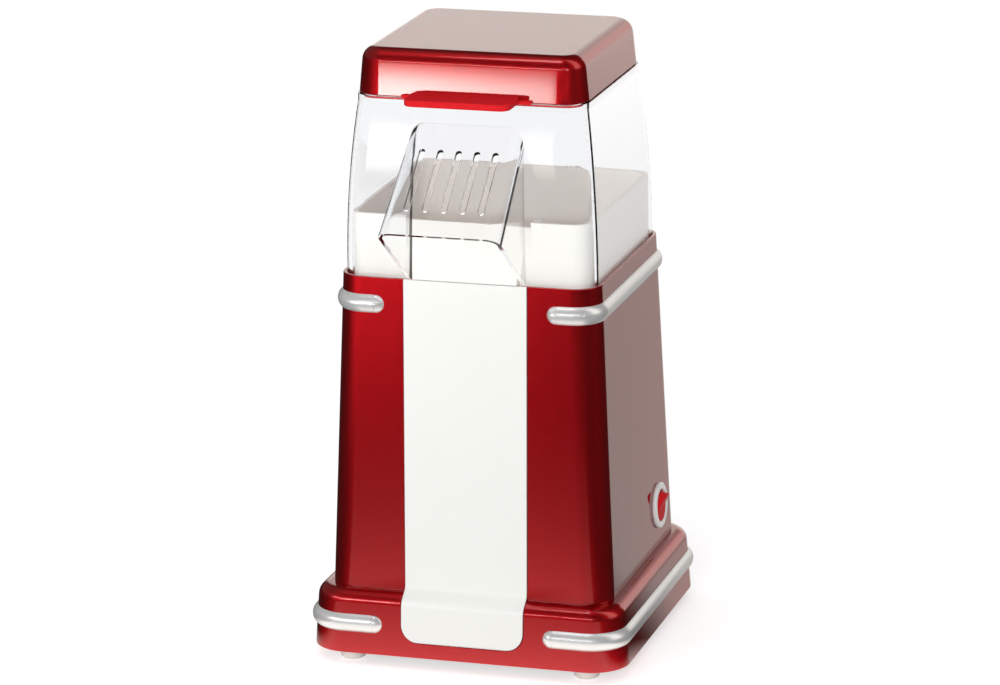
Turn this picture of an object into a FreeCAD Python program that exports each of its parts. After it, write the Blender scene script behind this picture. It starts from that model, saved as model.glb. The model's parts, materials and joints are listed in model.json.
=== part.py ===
"""Hot-air popcorn maker, a parametric assembly in millimetres.

The frame has +Z up, the front at -Y and its origin on the table, under the
middle of the whole object.  Every piece is drawn about the upright axis of
the plinth and then set back by the same distance, so that the overhang of the
chute in front is balanced about the origin.
"""
import FreeCAD, Part
import Sketcher
import math
import os
import re

Vector = FreeCAD.Vector
doc = FreeCAD.newDocument("popcorn_maker")

# Driving dimensions

DIMENSIONS = {
    # Feet and plinth
    "foot_height": 6.0,
    "foot_radius": 6.2,
    "foot_stem_radius": 3.0,
    "foot_grip_radius": 4.2,
    "foot_grip_height": 2.0,
    "foot_inset_width": 20.0,
    "foot_inset_depth": 13.0,
    "plinth_width": 158.0,
    "plinth_depth": 154.0,
    "plinth_height": 30.4,
    "plinth_corner": 18.5,
    "plinth_draft": 2.4,
    "plinth_wall": 3.0,
    "shoulder_round": 6.0,
    "ledge_thick": 3.0,
    "ledge_reach": 8.0,
    # Body shell
    "body_step_width": 8.6,
    "body_step_depth": 9.2,
    "body_bottom_corner": 14.0,
    "body_top_width": 128.4,
    "body_top_depth": 124.4,
    "body_top_corner": 13.2,
    "body_height": 154.6,
    "body_wall": 2.5,
    "rim_wall": 1.8,
    "shelf_thick": 3.0,
    "shelf_reach": 3.4,
    # Front panel
    "panel_width": 61.0,
    "panel_thick": 1.6,
    "panel_proud": 0.7,
    "panel_lift": 7.7,
    "panel_corner": 8.5,
    "panel_break": 2.0,
    "panel_bend": 3.5,
    "panel_gap": 0.35,
    # Trim strips
    "trim_radius": 5.3,
    "trim_proud": 2.4,
    "trim_tip": 40.4,
    "trim_upper_drop": 13.0,
    "trim_lower_lift": 14.8,
    # Hood and chute
    "hood_height": 86.5,
    "hood_seat": 5.0,
    "hood_wall": 2.2,
    "hood_gap": 0.3,
    "hood_middle_rise": 42.0,
    "hood_middle_draw": 3.4,
    "hood_top_draw": 8.0,
    "hood_top_corner": 10.5,
    "hood_bead": 0.6,
    "hood_bead_height": 3.0,
    "chute_root_width": 56.0,
    "chute_lip_width": 60.0,
    "chute_wall": 2.0,
    "chute_fold": 7.0,
    "chute_root_step": 1.8,
    "chute_root_drop": 11.5,
    "awning_run": 50.5,
    "lip_drop": 52.9,
    "slot_count": 5.0,
    "slot_width": 3.0,
    "slot_pitch": 9.0,
    "slot_start": 15.0,
    "slot_length": 36.0,
    # Lid
    "lid_height": 22.2,
    "lid_overhang": 0.4,
    "lid_draft": 2.2,
    "lid_corner": 13.0,
    "lid_round": 7.0,
    "lid_wall": 2.0,
    "lid_skirt": 1.8,
    "lid_seat": 4.0,
    "tab_width": 52.0,
    "tab_reach": 20.0,
    "tab_thick": 3.2,
    "tab_corner": 5.0,
    "tab_root_width": 64.0,
    "tab_root_reach": 2.5,
    "tab_root_thick": 1.6,
    # Liner and popping chamber
    "rest_gap": 0.3,
    "liner_gap": 0.3,
    "liner_plate": 3.0,
    "collar_gap": 1.2,
    "collar_wall": 2.0,
    "collar_height": 35.0,
    "dam_drop": 4.0,
    "dam_width": 63.0,
    "dam_gap": 2.7,
    "dam_edge": 2.0,
    "cheek_wall": 3.5,
    "ramp_gap": 0.4,
    "ramp_edge": 0.6,
    "chamber_radius": 41.0,
    "chamber_wall": 1.2,
    "chamber_rim": 46.0,
    "chamber_gap": 4.0,
    "chamber_dome": 4.0,
    "seal_thick": 1.0,
    "louvre_count": 24.0,
    "louvre_width": 1.6,
    "louvre_height": 10.0,
    "louvre_lift": 5.0,
    # Heater
    "sleeve_radius": 50.0,
    "sleeve_wall": 1.0,
    "mica_thick": 1.0,
    "mica_height": 16.0,
    "coil_radius": 2.0,
    "coil_pitch": 7.0,
    "coil_turns": 4.0,
    "coil_start": 13.0,
    "thermostat_radius": 7.0,
    "thermostat_depth": 6.0,
    "fuse_radius": 2.5,
    "fuse_length": 14.0,
    # Blower
    "leg_height": 59.5,
    "leg_radius": 4.0,
    "leg_spread_width": 73.0,
    "leg_spread_depth": 42.0,
    "blower_floor": 2.5,
    "blower_wall": 2.0,
    "blower_inside": 48.0,
    "blower_height": 28.0,
    "blower_lip": 45.0,
    "blower_lip_height": 4.0,
    "fan_radius": 43.0,
    "fan_height": 14.0,
    "fan_disc": 2.0,
    "fan_hub": 7.0,
    "fan_lift": 3.5,
    "blade_count": 8.0,
    "blade_thick": 1.5,
    "inlet_count": 6.0,
    "inlet_width": 9.0,
    "inlet_reach": 35.5,
    # Motor
    "motor_radius": 18.0,
    "motor_length": 42.0,
    "motor_wall": 1.2,
    "motor_boss": 6.0,
    "cap_thick": 3.0,
    "shaft_radius": 1.6,
    "shaft_gap": 0.05,
    "bush_radius": 4.0,
    "bush_length": 4.5,
    "magnet_thick": 3.2,
    "magnet_length": 28.0,
    "armature_radius": 12.6,
    "armature_length": 24.0,
    "armature_slots": 5.0,
    "commutator_radius": 4.5,
    "commutator_length": 6.0,
    "motor_screw_circle": 12.5,
    "board_radius": 15.0,
    "board_thick": 1.6,
    "board_drop": 3.5,
    "board_post": 1.0,
    "diode_radius": 1.4,
    "diode_length": 5.0,
    # Bottom plate and fasteners
    "plate_thick": 2.5,
    "plate_recess": 2.0,
    "plate_gap": 0.4,
    "intake_count": 9.0,
    "intake_width": 3.0,
    "intake_pitch": 7.0,
    "intake_length": 58.0,
    "screw_radius": 1.4,
    "screw_gap": 0.1,
    "screw_head": 2.8,
    "screw_head_height": 1.8,
    "screw_length": 9.0,
    "plinth_boss_radius": 3.5,
    "plinth_boss_inset_width": 10.0,
    "plinth_boss_inset_depth": 27.0,
    "body_boss_radius": 4.0,
    "body_boss_height": 14.0,
    "body_boss_inset_width": 8.4,
    "body_boss_inset_depth": 7.8,
    # Switch
    "switch_back": 33.0,
    "switch_rise": 20.6,
    "bezel_radius": 11.5,
    "bezel_thick": 1.8,
    "bezel_round": 0.8,
    "switch_neck": 10.0,
    "switch_gap": 0.2,
    "switch_opening": 8.1,
    "switch_depth": 21.0,
    "switch_pocket": 9.0,
    "rocker_radius": 7.2,
    "rocker_swing": 8.0,
    "rocker_pivot": 2.8,
    "rocker_tilt": 14.0,
    "rocker_depth": 4.6,
    "pin_radius": 0.9,
    "pin_gap": 0.05,
    "blade_width": 4.8,
    "blade_gauge": 0.8,
    "blade_length": 8.0,
    "blade_pitch": 5.0,
    # Cord inlet, terminal block and leads
    "gland_rise": 14.0,
    "gland_bore": 3.5,
    "gland_neck": 5.0,
    "gland_flange": 7.0,
    "gland_flange_thick": 2.2,
    "gland_gap": 0.1,
    "block_length": 26.0,
    "block_depth": 14.0,
    "block_height": 12.0,
    "block_back": 52.0,
    "lead_radius": 1.1,
    "lead_gap": 0.05,
}

sizes = doc.addObject("Spreadsheet::Sheet", "sizes")
for row, (alias, amount) in enumerate(DIMENSIONS.items(), start=1):
    sizes.set(f"A{row}", alias.replace("_", " "))
    sizes.set(f"B{row}", str(amount))
    sizes.setAlias(f"B{row}", alias)
doc.recompute()

WORD = re.compile(r"[a-z_]+")


def linked(text):
    """Turn a formula of sheet names into an expression that other objects can hold."""
    return WORD.sub(lambda word: "sizes." + word[0] if word[0] in DIMENSIONS else word[0], text)


def value(text):
    """The present value of a formula of sheet names."""
    return float(sizes.evalExpression(text))


def bind(thing, **formulas):
    """Bind properties of a document object to formulas of sheet names."""
    for prop, formula in formulas.items():
        thing.setExpression(prop.replace("__", "."), linked(formula))


# Levels and shared formulas

PLINTH_TOP = "(foot_height + plinth_height)"
BODY_TOP = "(foot_height + plinth_height + body_height)"
HOOD_LOW = f"({BODY_TOP} - hood_seat + rest_gap)"
HOOD_TOP = f"({BODY_TOP} + hood_height)"
LID_LOW = f"({HOOD_TOP} + rest_gap)"
LID_TOP = f"({LID_LOW} + lid_height)"
LINER_TOP = f"({BODY_TOP} - hood_seat)"
LINER_LOW = f"({LINER_TOP} - liner_plate)"
PLATE_LOW = "(foot_height + plate_recess)"
PLATE_TOP = "(foot_height + plate_recess + plate_thick)"
BLOWER_LOW = f"({PLATE_TOP} + leg_height)"
BLOWER_TOP = f"({BLOWER_LOW} + blower_height)"
COIL_LEVEL = f"({BLOWER_TOP} + mica_height + coil_radius)"
CHAMBER_LOW = f"({COIL_LEVEL} + coil_radius + chamber_gap)"
CHAMBER_TOP = f"({LINER_TOP} + seal_thick + chamber_wall)"
MOTOR_LOW = f"({BLOWER_LOW} - motor_length)"
BODY_BOTTOM_WIDTH = "(plinth_width - 2 * body_step_width)"
BODY_BOTTOM_DEPTH = "(plinth_depth - 2 * body_step_depth)"
HOOD_TOP_WIDTH = "(body_top_width - 2 * hood_top_draw)"
HOOD_TOP_DEPTH = "(body_top_depth - 2 * hood_top_draw)"
CHUTE_ROOT = f"({HOOD_TOP_DEPTH} / 2 + chute_root_step)"
LIP_REACH = f"({CHUTE_ROOT} + awning_run)"
LID_WIDTH = f"({HOOD_TOP_WIDTH} + 2 * lid_overhang)"
LID_DEPTH = f"({HOOD_TOP_DEPTH} + 2 * lid_overhang)"
SET_BACK = (f"(({LIP_REACH} - plinth_depth / 2 - trim_proud"
            " + plinth_draft * trim_lower_lift / plinth_height) / 2)")
TRIM_SINK = "(trim_radius - trim_proud)"
TRIM_END = f"(trim_tip + sqrt(trim_radius ^ 2 - {TRIM_SINK} ^ 2))"
HOLE_RADIUS = "(screw_radius + screw_gap)"
QUARTERS = [(1, 1), (-1, 1), (-1, -1), (1, -1)]
NEAR = 0.01


def at_corners(width, depth, centre=("0", "0")):
    """The four corners of a rectangle about a centre, as formulas."""
    return [(f"{centre[0]} + {side} * {width} / 2", f"{centre[1]} + {end} * {depth} / 2")
            for side, end in QUARTERS]


FEET = at_corners("(plinth_width - 2 * foot_inset_width)", "(plinth_depth - 2 * foot_inset_depth)")
BOSSES = at_corners("(plinth_width - 2 * plinth_boss_inset_width)",
                    "(plinth_depth - 2 * plinth_boss_inset_depth)")
TIES = at_corners(f"({BODY_BOTTOM_WIDTH} - 2 * body_boss_inset_width)",
                  f"({BODY_BOTTOM_DEPTH} - 2 * body_boss_inset_depth)")
LEGS = at_corners("leg_spread_width", "leg_spread_depth")


def taper(low, high, level, start, rise):
    """A size that runs straight from low to high over the rise above the start level."""
    return f"({low} + ({high} - {low}) * ({level} - {start}) / {rise})"


def body_section(level, inset="0"):
    """Width, depth and corner of the body shell at a level, drawn in by the inset."""
    width = taper(BODY_BOTTOM_WIDTH, "body_top_width", level, PLINTH_TOP, "body_height")
    depth = taper(BODY_BOTTOM_DEPTH, "body_top_depth", level, PLINTH_TOP, "body_height")
    corner = taper("body_bottom_corner", "body_top_corner", level, PLINTH_TOP, "body_height")
    return f"({width} - 2 * {inset})", f"({depth} - 2 * {inset})", f"({corner} - {inset})"


def plinth_section(level, inset="0"):
    """Width, depth and corner of the plinth at a level, drawn in by the inset."""
    draw = f"(plinth_draft * ({level} - foot_height) / plinth_height + {inset})"
    return f"(plinth_width - 2 * {draw})", f"(plinth_depth - 2 * {draw})", f"(plinth_corner - {draw})"


HOOD_SECTIONS = [
    (HOOD_LOW,
     "(body_top_width - 2 * (rim_wall + hood_gap))",
     "(body_top_depth - 2 * (rim_wall + hood_gap))",
     "(body_top_corner - rim_wall - hood_gap)"),
    (f"({BODY_TOP} + hood_middle_rise)",
     "(body_top_width - 2 * hood_middle_draw)",
     "(body_top_depth - 2 * hood_middle_draw)",
     "hood_top_corner"),
    (HOOD_TOP, HOOD_TOP_WIDTH, HOOD_TOP_DEPTH, "hood_top_corner"),
]


def hood_rim(inset):
    """Width, depth and corner of the hood's top, drawn in by the inset."""
    width, depth, corner = HOOD_SECTIONS[-1][1:]
    return f"({width} - 2 * {inset})", f"({depth} - 2 * {inset})", f"({corner} - {inset})"


# Drawing helpers

class Piece:
    """One PartDesign body, with short calls for its sketches and features."""

    def __init__(self, label):
        self.body = doc.addObject("PartDesign::Body", label)
        self.body.Label = label
        self.steps = 0

    def origin(self, role):
        """A plane or axis of the body's own origin."""
        return next(item for item in self.body.Origin.OriginFeatures if item.Role == role)

    def add(self, kind):
        """A new sketch or feature of the body, numbered in the order it is made."""
        self.steps += 1
        return self.body.newObject(kind, f"{self.body.Label}_step_{self.steps}")

    def finish(self, feature):
        """Work a feature out, and stop if it failed."""
        doc.recompute()
        if "Invalid" in feature.State or feature.Shape.isNull():
            raise RuntimeError(f"{feature.Label} ({feature.TypeId}) failed")
        return feature

    def sketch(self, plane="XY", offset="0"):
        """A sketch on an origin plane, moved along that plane's normal."""
        drawing = self.add("Sketcher::SketchObject")
        drawing.AttachmentSupport = (self.origin(plane + "_Plane"), [""])
        drawing.MapMode = "FlatFace"
        bind(drawing, AttachmentOffset__Base__z=offset)
        return drawing

    def outline(self, corners, plane="XY", offset="0"):
        """A closed outline of straight edges, each corner bound to two formulas."""
        drawing = self.sketch(plane, offset)
        points = [Vector(value(x), value(y), 0) for x, y in corners]
        count = len(points)
        for i in range(count):
            drawing.addGeometry(Part.LineSegment(points[i], points[(i + 1) % count]))
        for i in range(count):
            drawing.addConstraint(Sketcher.Constraint("Coincident", i, 2, (i + 1) % count, 1))
        for i, (x, y) in enumerate(corners):
            fix(drawing, Sketcher.Constraint("DistanceX", -1, 1, i, 1, points[i].x), x)
            fix(drawing, Sketcher.Constraint("DistanceY", -1, 1, i, 1, points[i].y), y)
        doc.recompute()
        return drawing

    def rounded(self, width, depth, corner, plane="XY", offset="0", centre=("0", "0")):
        """A rectangle with round corners about a centre."""
        drawing = self.sketch(plane, offset)
        for turn, (side, end) in enumerate(QUARTERS):
            x = f"({centre[0]} + {side} * ({width} / 2 - {corner}))"
            y = f"({centre[1]} + {end} * ({depth} / 2 - {corner}))"
            circle = Part.Circle(Vector(value(x), value(y), 0), Vector(0, 0, 1), value(corner))
            start = turn * math.pi / 2
            drawing.addGeometry(Part.ArcOfCircle(circle, start, start + math.pi / 2))
            fix(drawing, Sketcher.Constraint("DistanceX", -1, 1, turn, 3, value(x)), x)
            fix(drawing, Sketcher.Constraint("DistanceY", -1, 1, turn, 3, value(y)), y)
            fix(drawing, Sketcher.Constraint("Radius", turn, value(corner)), corner)
        arcs = drawing.Geometry
        for turn in range(4):
            following = (turn + 1) % 4
            drawing.addGeometry(Part.LineSegment(arcs[turn].EndPoint, arcs[following].StartPoint))
            drawing.addConstraint(Sketcher.Constraint("Tangent", turn, 2, 4 + turn, 1))
            drawing.addConstraint(Sketcher.Constraint("Tangent", 4 + turn, 2, following, 1))
        doc.recompute()
        return drawing

    def circles(self, radius, centres, plane="XY", offset="0"):
        """Circles of one radius about several centres."""
        drawing = self.sketch(plane, offset)
        for i, (x, y) in enumerate(centres):
            middle = Vector(value(x), value(y), 0)
            drawing.addGeometry(Part.Circle(middle, Vector(0, 0, 1), value(radius)))
            fix(drawing, Sketcher.Constraint("DistanceX", -1, 1, i, 3, middle.x), x)
            fix(drawing, Sketcher.Constraint("DistanceY", -1, 1, i, 3, middle.y), y)
            fix(drawing, Sketcher.Constraint("Radius", i, value(radius)), radius)
        doc.recompute()
        return drawing

    def extrude(self, kind, drawing, length, side="One side", flip=False, taper="0"):
        """A pad or pocket of the drawing, with walls that lean by the taper's angle."""
        feature = self.add("PartDesign::" + kind)
        feature.Profile = drawing
        feature.SideType = side
        feature.Reversed = flip
        bind(feature, Length=length, TaperAngle=taper)
        return self.finish(feature)

    def pad(self, drawing, length, side="One side", flip=False, taper="0"):
        """Material along the drawing's normal, or against it when flipped."""
        return self.extrude("Pad", drawing, length, side, flip, taper)

    def pocket(self, drawing, length, side="One side", flip=False, taper="0"):
        """A cut against the drawing's normal, or along it when flipped."""
        before = self.body.Shape.Volume
        feature = self.extrude("Pocket", drawing, length, side, flip, taper)
        if feature.Shape.Volume >= before:
            raise RuntimeError(f"{self.body.Label}: a pocket cuts nothing")
        return feature

    def loft(self, drawings, cut=False, ruled=True):
        """A solid, or a cut, through several drawings."""
        feature = self.add("PartDesign::SubtractiveLoft" if cut else "PartDesign::AdditiveLoft")
        feature.Profile = drawings[0]
        feature.Sections = drawings[1:]
        feature.Ruled = ruled
        return self.finish(feature)

    def turn(self, corners, cut=False):
        """A full turn about Z of an outline whose corners are radius and level."""
        drawing = self.outline(corners, plane="XZ")
        feature = self.add("PartDesign::Groove" if cut else "PartDesign::Revolution")
        feature.Profile = drawing
        feature.ReferenceAxis = (self.origin("Z_Axis"), [""])
        return self.finish(feature)

    def round_edges(self, radius, wanted):
        """A fillet on every edge of the last shape that the test picks."""
        base = self.body.Tip
        names = [f"Edge{i}" for i, edge in enumerate(base.Shape.Edges, start=1) if wanted(edge)]
        if not names:
            raise RuntimeError(f"{self.body.Label}: no edge to round")
        feature = self.add("PartDesign::Fillet")
        feature.Base = (base, names)
        bind(feature, Radius=radius)
        return self.finish(feature)

    def around(self, feature, count):
        """Copies of a feature about the upright axis."""
        pattern = self.add("PartDesign::PolarPattern")
        pattern.Originals = [feature]
        pattern.Axis = (self.origin("Z_Axis"), [""])
        pattern.Angle = 360
        bind(pattern, Occurrences=count)
        self.body.Tip = pattern
        return self.finish(pattern)

    def along(self, feature, count, pitch, axis="X_Axis"):
        """Copies of a feature in a row along an axis of the body's origin."""
        pattern = self.add("PartDesign::LinearPattern")
        pattern.Originals = [feature]
        pattern.Direction = (self.origin(axis), [""])
        bind(pattern, Occurrences=count, Length=f"({count} - 1) * {pitch}")
        self.body.Tip = pattern
        return self.finish(pattern)


def fix(drawing, constraint, formula):
    """Add a dimension to a drawing and bind it to a formula."""
    index = drawing.addConstraint(constraint)
    drawing.setExpression(f"Constraints[{index}]", linked(formula))


def at_level(level):
    """A test for edges whose middle lies at a level."""
    return lambda edge: abs(edge.CenterOfMass.z - level) < NEAR


def runs_along(edge, direction):
    """True for a straight edge along a direction."""
    if edge.Curve.TypeId != "Part::GeomLine":
        return False
    return abs(abs(edge.tangentAt(edge.FirstParameter).dot(direction)) - 1) < 1e-6


# Sub-parts are kept here in the order they are made.
SUBPARTS = []


def keep(thing, label=None, x="0", y="0", z="0", turn=None):
    """Name a sub-part, put it in its place and list it for writing."""
    if label:
        thing.Label = label
    if turn:
        axis, angle = turn
        thing.Placement.Rotation = FreeCAD.Rotation(axis, value(angle))
        bind(thing, Placement__Rotation__Angle=angle)
    bind(thing, Placement__Base__x=x, Placement__Base__y=f"{y} + {SET_BACK}", Placement__Base__z=z)
    SUBPARTS.append(thing)
    return thing


def boolean(kind, name, base, tool):
    """A Part boolean of two objects."""
    result = doc.addObject("Part::" + kind, name)
    result.Base = base
    result.Tool = tool
    doc.recompute()
    return result


def group(label, members, **place):
    """Several solids that share one node."""
    result = doc.addObject("Part::Compound", label)
    result.Links = members
    doc.recompute()
    return keep(result, label, **place)


def screw(name, x, y, z, length, turn=None):
    """A pan-head screw whose head lies below the given point and whose shank rises."""
    piece = Piece(name)
    piece.turn([("0", "-screw_head_height"), ("screw_head", "-screw_head_height"), ("screw_head", "0"),
                ("screw_radius", "0"), ("screw_radius", length), ("0", length)])
    body = piece.body
    if turn:
        axis, angle = turn
        body.Placement.Rotation = FreeCAD.Rotation(axis, angle)
    bind(body, Placement__Base__x=x, Placement__Base__y=y, Placement__Base__z=z)
    doc.recompute()
    return body


# Front panel, and the recess that it lies in

def panel_strip(name, spread, drop, front):
    """The strip's side outline drawn across the width, with its two bends and round lower corners.

    The outline follows the body's front, leaves it above the ledge and joins the plinth over its shoulder.
    """
    back = "(panel_proud - panel_thick)"
    face = f"(panel_proud + {front})"
    foot = f"(foot_height + panel_lift - {drop})"
    knee = f"({PLINTH_TOP} + panel_break)"
    hip = f"({PLINTH_TOP} - shoulder_round / 2)"
    stations = [
        ("body_top_depth / 2", BODY_TOP),
        (body_section(knee)[1] + " / 2", knee),
        (plinth_section(hip)[1] + " / 2", hip),
        (plinth_section(foot)[1] + " / 2", foot),
    ]
    outer = [(f"-({reach} + {face})", level) for reach, level in stations]
    inner = [(f"-({reach} + {back})", level) for reach, level in reversed(stations)]
    piece = Piece(name)
    piece.pad(piece.outline(outer + inner, plane="YZ"), f"panel_width + 2 * {spread}", side="Symmetric")
    across = Vector(1, 0, 0)
    middle_y = {corner: -value(stations[corner][0]) for corner in (1, 2)}
    middle_z = {corner: value(stations[corner][1]) for corner in (1, 2)}
    thick = value(face) - value(back)

    def bend(corner, outside):
        """The test for one bend's outer or inner edge."""
        shift = value(face if outside else back)
        return lambda edge: (runs_along(edge, across)
                             and abs(edge.CenterOfMass.z - middle_z[corner]) < NEAR
                             and abs(edge.CenterOfMass.y - middle_y[corner] + shift) < thick / 4)

    piece.round_edges(f"panel_bend - {front}", bend(1, True))
    piece.round_edges("panel_bend + panel_thick", bend(1, False))
    piece.round_edges(f"panel_bend + panel_thick + {front}", bend(2, True))
    piece.round_edges("panel_bend", bend(2, False))
    low = value(foot)
    half = value(f"panel_width / 2 + {spread}")
    piece.round_edges(f"panel_corner + {spread}", lambda edge: (
        edge.CenterOfMass.z < low + thick and abs(abs(edge.CenterOfMass.x) - half) < NEAR))
    return piece.body


keep(panel_strip("front_panel", "0", "0", "0"))
panel_recess = panel_strip("panel_recess", "panel_gap", "panel_gap", "2 * panel_thick")


# Plinth, with its bosses for the bottom plate and its cord hole

def make_plinth():
    """A drafted skirt with a rounded shoulder and a ledge that carries the body."""
    piece = Piece("plinth_moulding")
    piece.pad(piece.rounded(*plinth_section("foot_height"), offset="foot_height"), "plinth_height",
              taper="-atan(plinth_draft / plinth_height)")
    top = value(PLINTH_TOP)
    piece.round_edges("shoulder_round", at_level(top))
    under = f"({PLINTH_TOP} - ledge_thick)"
    below = "(foot_height - plinth_wall)"
    inside = [piece.rounded(*plinth_section(level, "plinth_wall"), offset=level) for level in (below, under)]
    piece.loft(inside, cut=True)
    width, depth = body_section(PLINTH_TOP, "(body_wall + ledge_reach)")[:2]
    piece.pocket(piece.rounded(width, depth, "ledge_reach", offset=PLINTH_TOP), "2 * ledge_thick")
    piece.pad(piece.circles("plinth_boss_radius", BOSSES, offset=PLATE_TOP), f"{under} - {PLATE_TOP}")
    piece.pocket(piece.circles(HOLE_RADIUS, BOSSES, offset=PLATE_TOP), "screw_length", flip=True)
    piece.pocket(piece.circles(HOLE_RADIUS, TIES, offset=PLINTH_TOP), "2 * ledge_thick")
    return piece.body


def wall_hole(name, radius, reach, place, turn):
    """A round hole square to a leaning wall, reaching both ways from the wall's face."""
    bore = doc.addObject("Part::Cylinder", name)
    axis, angle = turn
    bore.Placement.Rotation = FreeCAD.Rotation(axis, value(angle))
    bind(bore, Radius=radius, Height=f"2 * {reach}", Placement__Rotation__Angle=angle)
    bind(bore, Placement__Base__x=place["x"], Placement__Base__y=place["y"], Placement__Base__z=place["z"])
    doc.recompute()
    return bore


PLINTH_LEAN = "atan(plinth_draft / plinth_height)"
GLAND_TURN = (Vector(1, 0, 0), f"-90 deg + {PLINTH_LEAN}")
GLAND_LEVEL = "(foot_height + gland_rise)"
GLAND_PLACE = {"x": "0", "y": f"({plinth_section(GLAND_LEVEL)[1]} / 2)", "z": GLAND_LEVEL}
GLAND_REACH = "(3 * plinth_wall)"
gland_hole = wall_hole("gland_hole", "gland_neck + gland_gap", GLAND_REACH, {
    "x": "0",
    "y": f"{GLAND_PLACE['y']} - {GLAND_REACH} * cos({PLINTH_LEAN})",
    "z": f"{GLAND_LEVEL} - {GLAND_REACH} * sin({PLINTH_LEAN})",
}, GLAND_TURN)
plinth_open = boolean("Cut", "plinth_open", make_plinth(), panel_recess)
keep(boolean("Cut", "plinth_cut", plinth_open, gland_hole), "plinth")


# Body shell, with its rim, its shelf for the liner, its screw bosses and its switch hole

WALL_LEAN = f"atan(({BODY_BOTTOM_WIDTH} - body_top_width) / (2 * body_height))"
SWITCH_LEVEL = f"({PLINTH_TOP} + switch_rise)"
SWITCH_X = f"({body_section(SWITCH_LEVEL)[0]} / 2)"


def make_body():
    """A tapered tower, open at both ends, that stands on the plinth's ledge."""
    piece = Piece("body_moulding")
    ends = (PLINTH_TOP, BODY_TOP)
    piece.loft([piece.rounded(*body_section(level), offset=level) for level in ends])
    piece.loft([piece.rounded(*body_section(level, "body_wall"), offset=level) for level in ends], cut=True)
    shelf_low = f"({LINER_LOW} - shelf_thick)"
    piece.loft([piece.rounded(*body_section(level, "(body_wall / 2)"), offset=level)
                for level in (shelf_low, LINER_LOW)])
    piece.pocket(piece.rounded(*body_section(LINER_LOW, "(body_wall + shelf_reach)"), offset=LINER_LOW),
                 "2 * shelf_thick")
    rim = body_section(BODY_TOP, "rim_wall")
    piece.pocket(piece.rounded(*rim, offset=BODY_TOP), "hood_seat")
    piece.pad(piece.circles("body_boss_radius", TIES, offset=PLINTH_TOP), "body_boss_height")
    piece.pocket(piece.circles(HOLE_RADIUS, TIES, offset=PLINTH_TOP), "screw_length", flip=True)
    return piece.body


SWITCH_TURN = (Vector(0, 1, 0), f"90 deg - {WALL_LEAN}")
SWITCH_PLACE = {"x": SWITCH_X, "y": "switch_back", "z": SWITCH_LEVEL}
SWITCH_REACH = "(4 * body_wall)"
switch_hole = wall_hole("switch_hole", "switch_neck + switch_gap", SWITCH_REACH, {
    "x": f"{SWITCH_X} - {SWITCH_REACH} * cos({WALL_LEAN})",
    "y": "switch_back",
    "z": f"{SWITCH_LEVEL} - {SWITCH_REACH} * sin({WALL_LEAN})",
}, SWITCH_TURN)
body_open = boolean("Cut", "body_open", make_body(), panel_recess)
keep(boolean("Cut", "body_cut", body_open, switch_hole), "body_shell")


# Trim strips

def trim(label, side, level, section):
    """A round bar along the front corner, the side and the rear corner, cut to the wall behind it.

    The wall's section at any level is a function, so that the strip's back follows the wall's slope.
    """
    width, depth, corner = section(level, TRIM_SINK)
    piece = Piece(label)
    half_x = value(width) / 2
    half_y = value(depth) / 2
    radius = value(corner)
    end_x = value(TRIM_END)
    path = piece.sketch(offset=level)
    turns = [(-half_y + radius, -math.pi / 2), (half_y - radius, 0.0)]
    points = [(end_x, -half_y), (half_x - radius, -half_y), (half_x, -half_y + radius),
              (half_x, half_y - radius), (half_x - radius, half_y), (end_x, half_y)]
    points = [Vector(side * x, y, 0) for x, y in points]
    middles = [Vector(side * (half_x - radius + radius * math.cos(start + math.pi / 4)),
                      y + radius * math.sin(start + math.pi / 4), 0) for y, start in turns]
    path.addGeometry(Part.LineSegment(points[0], points[1]))
    path.addGeometry(Part.Arc(points[1], middles[0], points[2]))
    path.addGeometry(Part.LineSegment(points[2], points[3]))
    path.addGeometry(Part.Arc(points[3], middles[1], points[4]))
    path.addGeometry(Part.LineSegment(points[4], points[5]))
    doc.recompute()
    ring = piece.circles("trim_radius", [(f"-{depth} / 2", level)], plane="YZ",
                         offset=f"{side} * {TRIM_END}")
    pipe = piece.add("PartDesign::AdditivePipe")
    pipe.Profile = ring
    pipe.Spine = (path, [f"Edge{i}" for i in range(1, 6)])
    doc.recompute()
    for end in (-1, 1):
        ball = piece.add("PartDesign::AdditiveSphere")
        bind(ball, Radius="trim_radius")
        bind(ball, Placement__Base__x=f"{side} * {TRIM_END}", Placement__Base__y=f"{end} * {depth} / 2",
             Placement__Base__z=level)
        doc.recompute()
    spans = (f"({level} - 2 * trim_radius)", f"({level} + 2 * trim_radius)")
    piece.loft([piece.rounded(*section(span), offset=span) for span in spans], cut=True)
    return keep(piece.body)


UPPER_TRIM = f"({BODY_TOP} - trim_upper_drop)"
LOWER_TRIM = "(foot_height + trim_lower_lift)"
for side_name, side in (("left", -1), ("right", 1)):
    trim(f"trim_upper_{side_name}", side, UPPER_TRIM, body_section)
    trim(f"trim_lower_{side_name}", side, LOWER_TRIM, plinth_section)


# Hood, a clear barrel with a slotted chute in front

AWNING_FALL = "(lip_drop - chute_root_drop)"
AWNING_LENGTH = f"sqrt(awning_run ^ 2 + {AWNING_FALL} ^ 2)"
AWNING_SLOPE = f"atan({AWNING_FALL} / awning_run)"


def barrel(name, inset, low, high):
    """The hood's barrel between two levels past its ends, drawn in by the inset."""
    piece = Piece(name)
    drawings = []
    for (level, width, depth, corner), shift in zip(HOOD_SECTIONS, (low, "0", high)):
        drawings.append(piece.rounded(f"({width} - 2 * {inset})", f"({depth} - 2 * {inset})",
                                      f"({corner} - {inset})", offset=f"{level} + {shift}"))
    piece.loft(drawings, ruled=False)
    return piece


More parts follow.
